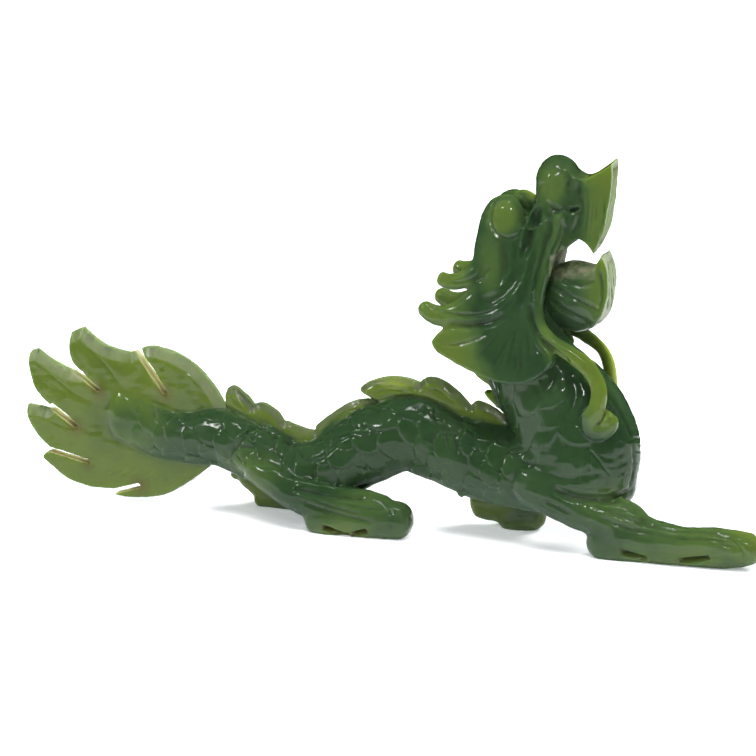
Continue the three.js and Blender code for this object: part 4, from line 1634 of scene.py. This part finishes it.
@dataclass(frozen=True)
class Dragon:
    """The whole carving: every form joined into one stone, cut, polished and dressed."""

    body: Body = Body()
    legs: Legs = Legs()
    tail: TailFin = TailFin()
    crest: Crest = Crest()
    head: Head = Head()
    finish: PolishedJade = PolishedJade()
    voxel: float = 0.32
    most_triangles: int = 190_000
    fillet_rounds: int = 70
    # The passes that even out how thick the stone looks: on the leaves, which stay crisp, and on the rest.
    leaf_rounds: int = 17
    stone_rounds: int = 160
    # How high, how long and in which pattern the surface rises and falls.
    uneven: tuple[tuple[float, float, int], ...] = ((0.12, 8.0, 3), (0.035, 2.6, 5))
    # Light reaches through walls under this thickness, and fully through walls this much thinner.
    lit_wall: float = 7.4
    lit_run: float = 4.0
    # How far from the middle of a slit its sawn walls reach.
    sawn_reach: float = 1.45
    # Patches of painted light coming through the stone. Those above 0 brighten parts in shade, such as the
    # far legs and the far whisker, as stone lit from behind; those below 0 take that light away. Some also
    # follow the stone's own tone.
    tones_and_glows: tuple[ToneAndGlow, ...] = (
        ToneAndGlow((20, 0, 60), (16, 20, 18), -0.4),
        ToneAndGlow((33, 0, 80), (9, 20, 14), -0.9),
        ToneAndGlow((41.5, 0, 84), (4, 20, 7), -1),
        ToneAndGlow((45, 0, 73), (6, 20, 24), -0.8),
        ToneAndGlow((50.5, 0, 59), (8, 20, 12), -0.85),
        ToneAndGlow((38, 0, 60), (9, 20, 20), -0.75),
        ToneAndGlow((43.6, 0, 66), (6, 20, 12), -0.6),
        ToneAndGlow((64, 0, 12), (22, 20, 7), -0.2),
        ToneAndGlow((-14, 0, 7), (18, 20, 6), -0.4),
        ToneAndGlow((-34, -9, 13), (14, 8, 9), 0.4),
        ToneAndGlow((33.6, -8, 85.4), (6, 6, 7), 0.6),
        ToneAndGlow((33.6, 8, 85.4), (6, 6, 7), 0.6),
        ToneAndGlow((38.6, 3, 89), (5, 5, 4), 1.3),
        ToneAndGlow((31, 0, 73), (5, 20, 13), 0.4),
        ToneAndGlow((56.5, 0, 87), (6.5, 20, 14), 0.6),
        ToneAndGlow((46, 0, 93), (7, 20, 8), 0.5),
        ToneAndGlow((51.5, 0, 87), (5, 20, 13), -0.7),
        ToneAndGlow((60, 0, 67), (9, 20, 14), 0.6),
        ToneAndGlow((98, 0, 6), (16, 20, 10), 1.1),
        ToneAndGlow((66, -9, 13), (20, 8, 9), 0.3),
        ToneAndGlow((21, 0, 66), (10, 20, 9), 0.45),
        ToneAndGlow((84, 0, 6), (18, 20, 9), 0.5),
        ToneAndGlow((4, 0, 39), (12, 4, 4), 1.5),
        ToneAndGlow((-72, 0, 24), (19, 20, 16), 0.55),
        ToneAndGlow((-70, -6.5, 24), (14, 4.3, 11), -0.7),
        ToneAndGlow((-36, 9, 6), (16, 9, 14), 1.1),
        ToneAndGlow((26, 9, 9), (16, 10, 15), 1.1),
        ToneAndGlow((36, 9, 2), (16, 7, 7), 0.7),
        ToneAndGlow((61, 12, 48), (13, 5.5, 24), 2.1),
    )

    def block(self, name: str, forms: Iterable[Form]) -> bpy.types.Object:
        """Builds forms into one mesh object.

        Args:
            name: the object's name.
            forms: the forms.

        Returns:
            The object.
        """
        bm = bmesh.new()
        for form in forms:
            form.build(bm)
        bmesh.ops.recalc_face_normals(bm, faces=bm.faces[:])
        return add_mesh(name, bm)

    def settle(self, made: bpy.types.Object) -> None:
        """Applies an object's modifiers to its mesh.

        Args:
            made: the object.
        """
        graph = bpy.context.evaluated_depsgraph_get()
        graph.update()
        mesh = bpy.data.meshes.new_from_object(made.evaluated_get(graph))
        made.modifiers.clear()
        old = made.data
        made.data = mesh
        bpy.data.meshes.remove(old)

    def saw_fin(self) -> bpy.types.Object:
        """Builds the tail fin and saws its slits.

        Returns:
            The fin's object.
        """
        fin = self.block("fin", [self.tail.leaf])
        for wedge in self.tail.saws():
            saw = self.block("saw", [wedge])
            cut = fin.modifiers.new("slit", "BOOLEAN")
            cut.operation = "DIFFERENCE"
            cut.object = saw
            self.settle(fin)
            bpy.data.objects.remove(saw)
        return fin

    def join(self) -> bpy.types.Object:
        """Joins every form into one closed skin of even small faces.

        Returns:
            The joined stone.
        """
        fin = self.saw_fin()
        parts = [*self.body.forms(), *self.legs.forms(), *self.crest.forms(), *self.head.forms()]
        stone = self.block("jade_carving", parts)
        bm = bmesh.new()
        bm.from_mesh(stone.data)
        bm.from_mesh(fin.data)
        bm.to_mesh(stone.data)
        bm.free()
        bpy.data.objects.remove(fin)
        skin = stone.modifiers.new("skin", "REMESH")
        skin.mode = "VOXEL"
        skin.voxel_size = self.voxel
        self.settle(stone)
        return stone

    def work(self, stone: bpy.types.Object) -> None:
        """Softens the joined skin, cuts the relief, and turns millimetres into metres.

        Args:
            stone: the joined stone.
        """
        carver = Carver(stone)
        plate = (np.abs(carver.points[:, 1]) < 2.1) & (carver.points[:, 0] < LEAVES_END)
        keep = np.where(plate, 0.5, 0.0)[:, None]
        carver.soften(6, keep)
        x, y, z = carver.points.T
        over_fin = (np.abs(y) < 3.2) & (x < LEAVES_END)
        on_whisker = (z > 28) & (z < 56) & (x > 46)
        fillets = np.where(over_fin | on_whisker, 0.0, np.where(z < 26, 1.0, 0.6))
        carver.fill(self.fillet_rounds, fillets)
        carver.soften(4, keep)
        for height, wave, seed in self.uneven:
            carver.undulate(height, wave, seed)
        self.body.cut_scales(carver)
        carver.grind(self.tail.upper_edges(), self.tail.leaf.thick, self.tail.bevel)
        carver.grind(self.crest.upper_edges(), self.crest.thick, self.crest.bevel)
        carver.strokes([*self.tail.strokes(), *self.tail.scratches(), *self.crest.strokes()])
        carver.strokes([*self.body.strokes(), *self.legs.strokes(), *self.head.strokes()])
        carver.strokes(self.legs.slots())
        carver.soften(1)
        carver.points[:, 2] = np.maximum(carver.points[:, 2], 0)
        carver.points[:, 0] += CENTRE_SHIFT
        carver.points *= MILLIMETRE
        carver.put_back()

    def thin_out(self, stone: bpy.types.Object) -> None:
        """Brings the number of triangles down, and smooths the shading.

        Args:
            stone: the worked stone.
        """
        faces = sum(len(p.vertices) - 2 for p in stone.data.polygons)
        if faces > self.most_triangles:
            thinner = stone.modifiers.new("thinner", "DECIMATE")
            thinner.ratio = self.most_triangles / faces
            self.settle(stone)
        for polygon in stone.data.polygons:
            polygon.use_smooth = True

    def walls(self, carver: Carver, normals: Array) -> Array:
        """How much stone lies under each vertex: the least that some ways in, straight and leaning, find.

        Args:
            carver: the finished stone.
            normals: the ways that its vertices face.

        Returns:
            The depths, in metres.
        """
        vertices = [v.co for v in carver.mesh.vertices]
        tree = BVHTree.FromPolygons(vertices, [tuple(p.vertices) for p in carver.mesh.polygons])
        deepest, under_skin = 14 * MILLIMETRE, 2e-5
        walls = np.full(len(normals), deepest)
        leans = (Vector((0, 0, 0)), Vector((0, 0.8, 0)), Vector((0, -0.8, 0)), Vector((0, 0, 0.6)))
        for k, (place, normal) in enumerate(zip(carver.points, normals)):
            inwards = Vector(-normal)
            start = Vector(place) + inwards * under_skin
            for lean in leans:
                depth = tree.ray_cast(start, (inwards + lean).normalized(), deepest)[3]
                walls[k] = min(walls[k], deepest if depth is None else depth)
        return walls

    def thinness(self, walls: Array) -> Array:
        """How much light comes through walls: 0 through thick ones, 1 through thin ones."""
        return np.clip((self.lit_wall * MILLIMETRE - walls) / (self.lit_run * MILLIMETRE), 0, 1)

    def grooves(self, carver: Carver, normals: Array) -> Array:
        """How deep in a groove each vertex lies, from 0 to 1: the material paints shade into the grooves by
        it.

        Args:
            carver: the finished stone.
            normals: the ways that its vertices face.

        Returns:
            One number for each vertex.
        """
        hollow = np.sum((carver.around(carver.points) - carver.points) * normals, axis=1) / MILLIMETRE
        return np.clip(carver.even_out(hollow, 2, 0.5) / 0.06, 0, 1)

    def stains(self, points: Array) -> Array:
        """Brown stains: in the ends of the slits and in the pockets of the soles.

        Args:
            points: the places of the vertices, in millimetres.

        Returns:
            How brown each of them is.
        """
        brown, front_share = 0.6, 0.4
        x, y, z = points.T
        stain = np.zeros(len(x))
        for _, end, _ in self.tail.slits:
            gap = np.hypot(x - end[0], z - end[1])
            stain = np.maximum(stain, np.clip(1.2 - gap / 3.0, 0, 1) * (np.abs(y) < 2.0) * brown)
        for slot in self.legs.slots():
            gap = gap_to(points, zip(slot.path, slot.path[1:]))
            share = front_share if slot.path[0][0] > 40 else 1.0
            here = np.clip(1.15 - gap / 0.8, 0, 1) * share * (y * slot.side.value > 9)
            stain = np.maximum(stain, brown * here)
        return stain

    def rough(self, points: Array) -> Array:
        """Places that the polish missed: the top of the lower jaw and the corner of the mouth.

        Args:
            points: the places of the vertices, in millimetres.

        Returns:
            How dull each of them is.
        """
        x, y, z = points.T
        jaw = ramp(z, 69.6, 1.2) * ramp(x, 57.4, -1.0) * (x > 46) * (z < 76)
        corner = (x > 43.6) * (x < 48.6) * ramp(z, 68.0, 2.0) * ramp(z, 79, -2)
        return np.clip(jaw + corner * (np.abs(y) < 5.4), 0, 1)

    def lip_fronts(self, points: Array, normals: Array) -> Array:
        """The ground fronts of both lips, painted pale as a reflection of bright light, darker in their
        lines.

        Args:
            points: the places of the vertices, in millimetres.
            normals: the ways that they face.

        Returns:
            How pale each of them is.
        """
        x, y, z = points.T
        front = ramp(normals[:, 0], 0.65, 0.2) * (x > 55) * (z > 56) * (np.abs(y) < 5.6)
        lines = [pair for line in self.head.lip_lines() for pair in zip(line.path, line.path[1:])]
        return front * (1 - 0.75 * ramp(gap_to(np.stack([y, x, z], axis=1), lines), 0.7, -0.4))

    def masks(self, stone: bpy.types.Object) -> dict[str, Array]:
        """Works out what the finish follows.

        Args:
            stone: the finished stone.

        Returns:
            One number for each vertex, by the name of the mask.
        """
        carver = Carver(stone)
        normals = carver.normals()
        points = carver.points / MILLIMETRE - [CENTRE_SHIFT, 0, 0]
        x, y, _ = points.T
        _, aside, upwards = normals.T
        sharp = carver.even_out(self.walls(carver, normals), self.leaf_rounds, 0.7)
        smooth = carver.even_out(sharp, self.stone_rounds - self.leaf_rounds, 0.7)
        leafy = (np.abs(y) < LEAF_HALF) & (x < LEAVES_END)
        thin = np.where(leafy, self.thinness(sharp), self.thinness(smooth))
        # Paints the patches of light coming through the stone, and of its own tone.
        for tone_and_glow in self.tones_and_glows:
            thin = tone_and_glow.tint(thin, points)
        lit = np.clip(1.4 * thin, 0, 1)
        slits = [(start, end) for start, end, _ in self.tail.slits]
        # The walls of the slits, painted bright as light glowing through them.
        sawn = ramp(np.abs(aside), 0.7, -0.3) * leafy * (gap_to(points, slits) < self.sawn_reach)
        # Painted dark edges: the sides of the leaves that don't face up.
        rim = ramp(np.abs(aside), 0.96, -0.2) * leafy * (upwards < 0.2) * (1 - sawn) * lit
        over_leaf = leafy * lit * (1 - rim)
        # Painted sheen along the bevels, and painted dark edges on the crest's bevels.
        pale, dark = np.zeros(len(points)), rim
        for leaf in (self.tail, self.crest):
            bevelled = ramp(gap_to(points, leaf.upper_edges(), True), leaf.bevel.width, -0.35) * over_leaf
            pale += leaf.bevel.pale * bevelled
            dark = np.maximum(dark, leaf.bevel.dark * bevelled)
        return {
            "thin": thin,
            "groove": self.grooves(carver, normals),
            "stain": self.stains(points),
            "rough": self.rough(points),
            "ground": np.maximum(self.lip_fronts(points, normals), pale),
            "sawn": sawn,
            "rim": dark,
            # Painted shade on faces turned down, which also dulls their polish.
            "under": ramp(upwards, -0.3, -0.35) * (np.abs(y) > LEAF_HALF),
        }

    def dress(self, stone: bpy.types.Object) -> None:
        """Stores what the finish follows on the mesh, and gives it the material.

        Args:
            stone: the finished stone.
        """
        for name, values in self.masks(stone).items():
            kept = stone.data.attributes.new(name, "FLOAT", "POINT")
            kept.data.foreach_set("value", values.astype(np.float32))
        stone.data.materials.clear()
        stone.data.materials.append(self.finish.material())

    def make(self) -> bpy.types.Object:
        """Makes the carving, and hides the part that it replaces.

        Returns:
            The carving's object.
        """
        stone = self.join()
        log.info("joined: %d faces", len(stone.data.polygons))
        self.work(stone)
        self.thin_out(stone)
        self.dress(stone)
        log.info("%s: %d triangles", stone.name, len(stone.data.polygons))
        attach(stone, "root")
        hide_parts("jade_dragon")
        return stone


# ---- Studio ----


@dataclass(frozen=True)
class Lamp:
    """One soft rectangular lamp: where it hangs, its width and height, and its power in watts."""

    name: str
    place: Place
    size: Spot
    power: float
    mirrored: bool = True

    def hang(self, aim: Place) -> None:
        """Hangs the lamp, turned towards a place.

        Args:
            aim: the place.
        """
        data = bpy.data.lights.new(self.name, "AREA")
        data.shape = "RECTANGLE"
        data.size, data.size_y = self.size
        data.energy = self.power
        made = add_object(self.name, data)
        made.visible_glossy = self.mirrored
        made.location = self.place
        made.rotation_euler = (Vector(aim) - Vector(self.place)).to_track_quat("-Z", "Y").to_euler()


@dataclass(frozen=True)
class Studio:
    """A pale floor, a pale backdrop, soft light and the camera."""

    floor_size: float = 3.6
    sheet: Spot = (0.45, 0.125)
    floor_glow: float = 0.30
    floor_colours: tuple[Colour, Colour] = ((0.86, 0.87, 0.88), (0.80, 0.82, 0.84))
    backdrop_glow: float = 0.55
    surrounds: float = 0.35
    azimuth: float = 17.0
    elevation: float = 14.0
    distance: float = 0.700
    target: Place = (-0.00175, 0.0, 0.0395)
    lens: float = 129.05
    lit_place: Place = (0, 0, 0.03)
    lamps: tuple[Lamp, ...] = (
        Lamp("overhead", (-0.1, -0.35, 1.5), (1.1, 0.7), 26.0, mirrored=False),
        Lamp("skylight", (0.1, -0.45, 1.4), (0.26, 0.16), 3.0),
        Lamp("window", (-0.75, -0.85, 0.75), (0.12, 0.24), 4.0),
        Lamp("strip", (0.45, -1.1, 0.85), (0.18, 0.06), 3.0),
        Lamp("behind", (0.6, 0.9, 0.7), (0.5, 0.4), 20.0, mirrored=False),
    )

    def floor(self) -> None:
        """Lays the floor: a sheet near the carving that shows in its polish, and the rest, which doesn't."""
        bm = bmesh.new()
        bmesh.ops.create_grid(bm, x_segments=3, y_segments=3, size=1)
        for vert in bm.verts:
            for axis, near in enumerate(self.sheet):
                reach = self.floor_size / 2 if abs(vert.co[axis]) > 0.9 else near
                vert.co[axis] = math.copysign(reach, vert.co[axis])
        finish = self.floor_finish()
        for name, part in (("sheet", bm), ("floor", bm.copy())):
            unused = [f for f in part.faces if (f.calc_center_median().length < 1e-6) != (name == "sheet")]
            bmesh.ops.delete(part, geom=unused, context="FACES")
            made = add_mesh(name, part)
            made.data.materials.append(finish)
            made.visible_glossy = name == "sheet"

    def floor_finish(self) -> bpy.types.Material:
        """Makes the floor's material.

        Returns:
            The material.
        """
        nodes = Nodes("pale_floor")
        inputs = {
            "Base Color": nodes.mix(nodes.noise(3.0) * 0.06, *self.floor_colours),
            "Roughness": 0.6,
            "IOR": 1.3,
            "Emission Color": (0.94, 0.98, 1.0, 1.0),
            "Emission Strength": self.floor_glow,
        }
        return nodes.surface(inputs)

    def backdrop(self) -> None:
        """Stands a pale backdrop round the floor, which doesn't light the stone or show in its polish."""
        bm = bmesh.new()
        radius = self.floor_size / 2.2
        bmesh.ops.create_cone(
            bm, cap_ends=False, segments=64, radius1=radius, radius2=radius, depth=self.floor_size
        )
        made = add_mesh("backdrop", bm)
        made.visible_diffuse = made.visible_glossy = made.visible_shadow = made.visible_transmission = False
        inputs = {
            "Base Color": (0.8, 0.8, 0.8, 1.0),
            "Roughness": 0.9,
            "Emission Color": (0.96, 0.98, 1.0, 1.0),
            "Emission Strength": self.backdrop_glow,
        }
        made.data.materials.append(Nodes("pale_paper").surface(inputs))

    def lights(self) -> None:
        """Hangs the lamps and sets the surrounding light."""
        for lamp in self.lamps:
            lamp.hang(self.lit_place)
        world = bpy.data.worlds.new("surrounds")
        world.use_nodes = True
        background = world.node_tree.nodes["Background"]
        background.inputs["Color"].default_value = (0.93, 0.97, 1.0, 1.0)
        background.inputs["Strength"].default_value = self.surrounds
        world.cycles_visibility.glossy = False
        bpy.context.scene.world = world

    def camera(self) -> None:
        """Sets up the camera."""
        turn, tilt = math.radians(self.azimuth), math.radians(self.elevation)
        back = Vector((math.sin(turn) * math.cos(tilt), -math.cos(turn) * math.cos(tilt), math.sin(tilt)))
        data = bpy.data.cameras.new("camera")
        data.lens = self.lens
        data.sensor_width = 36.0
        made = add_object("camera", data)
        made.location = Vector(self.target) + back * self.distance
        made.rotation_euler = back.to_track_quat("Z", "Y").to_euler()
        bpy.context.scene.camera = made

    def set_up(self) -> None:
        """Sets up the floor, the backdrop, the lights and the camera."""
        self.floor()
        self.backdrop()
        self.lights()
        self.camera()
        bpy.context.scene.view_settings.view_transform = "Standard"


def main() -> None:
    """Makes the carving and the studio."""
    logging.basicConfig(level=logging.INFO, format="%(name)s: %(message)s")
    Dragon().make()
    Studio().set_up()


if __name__ == "__main__":
    main()
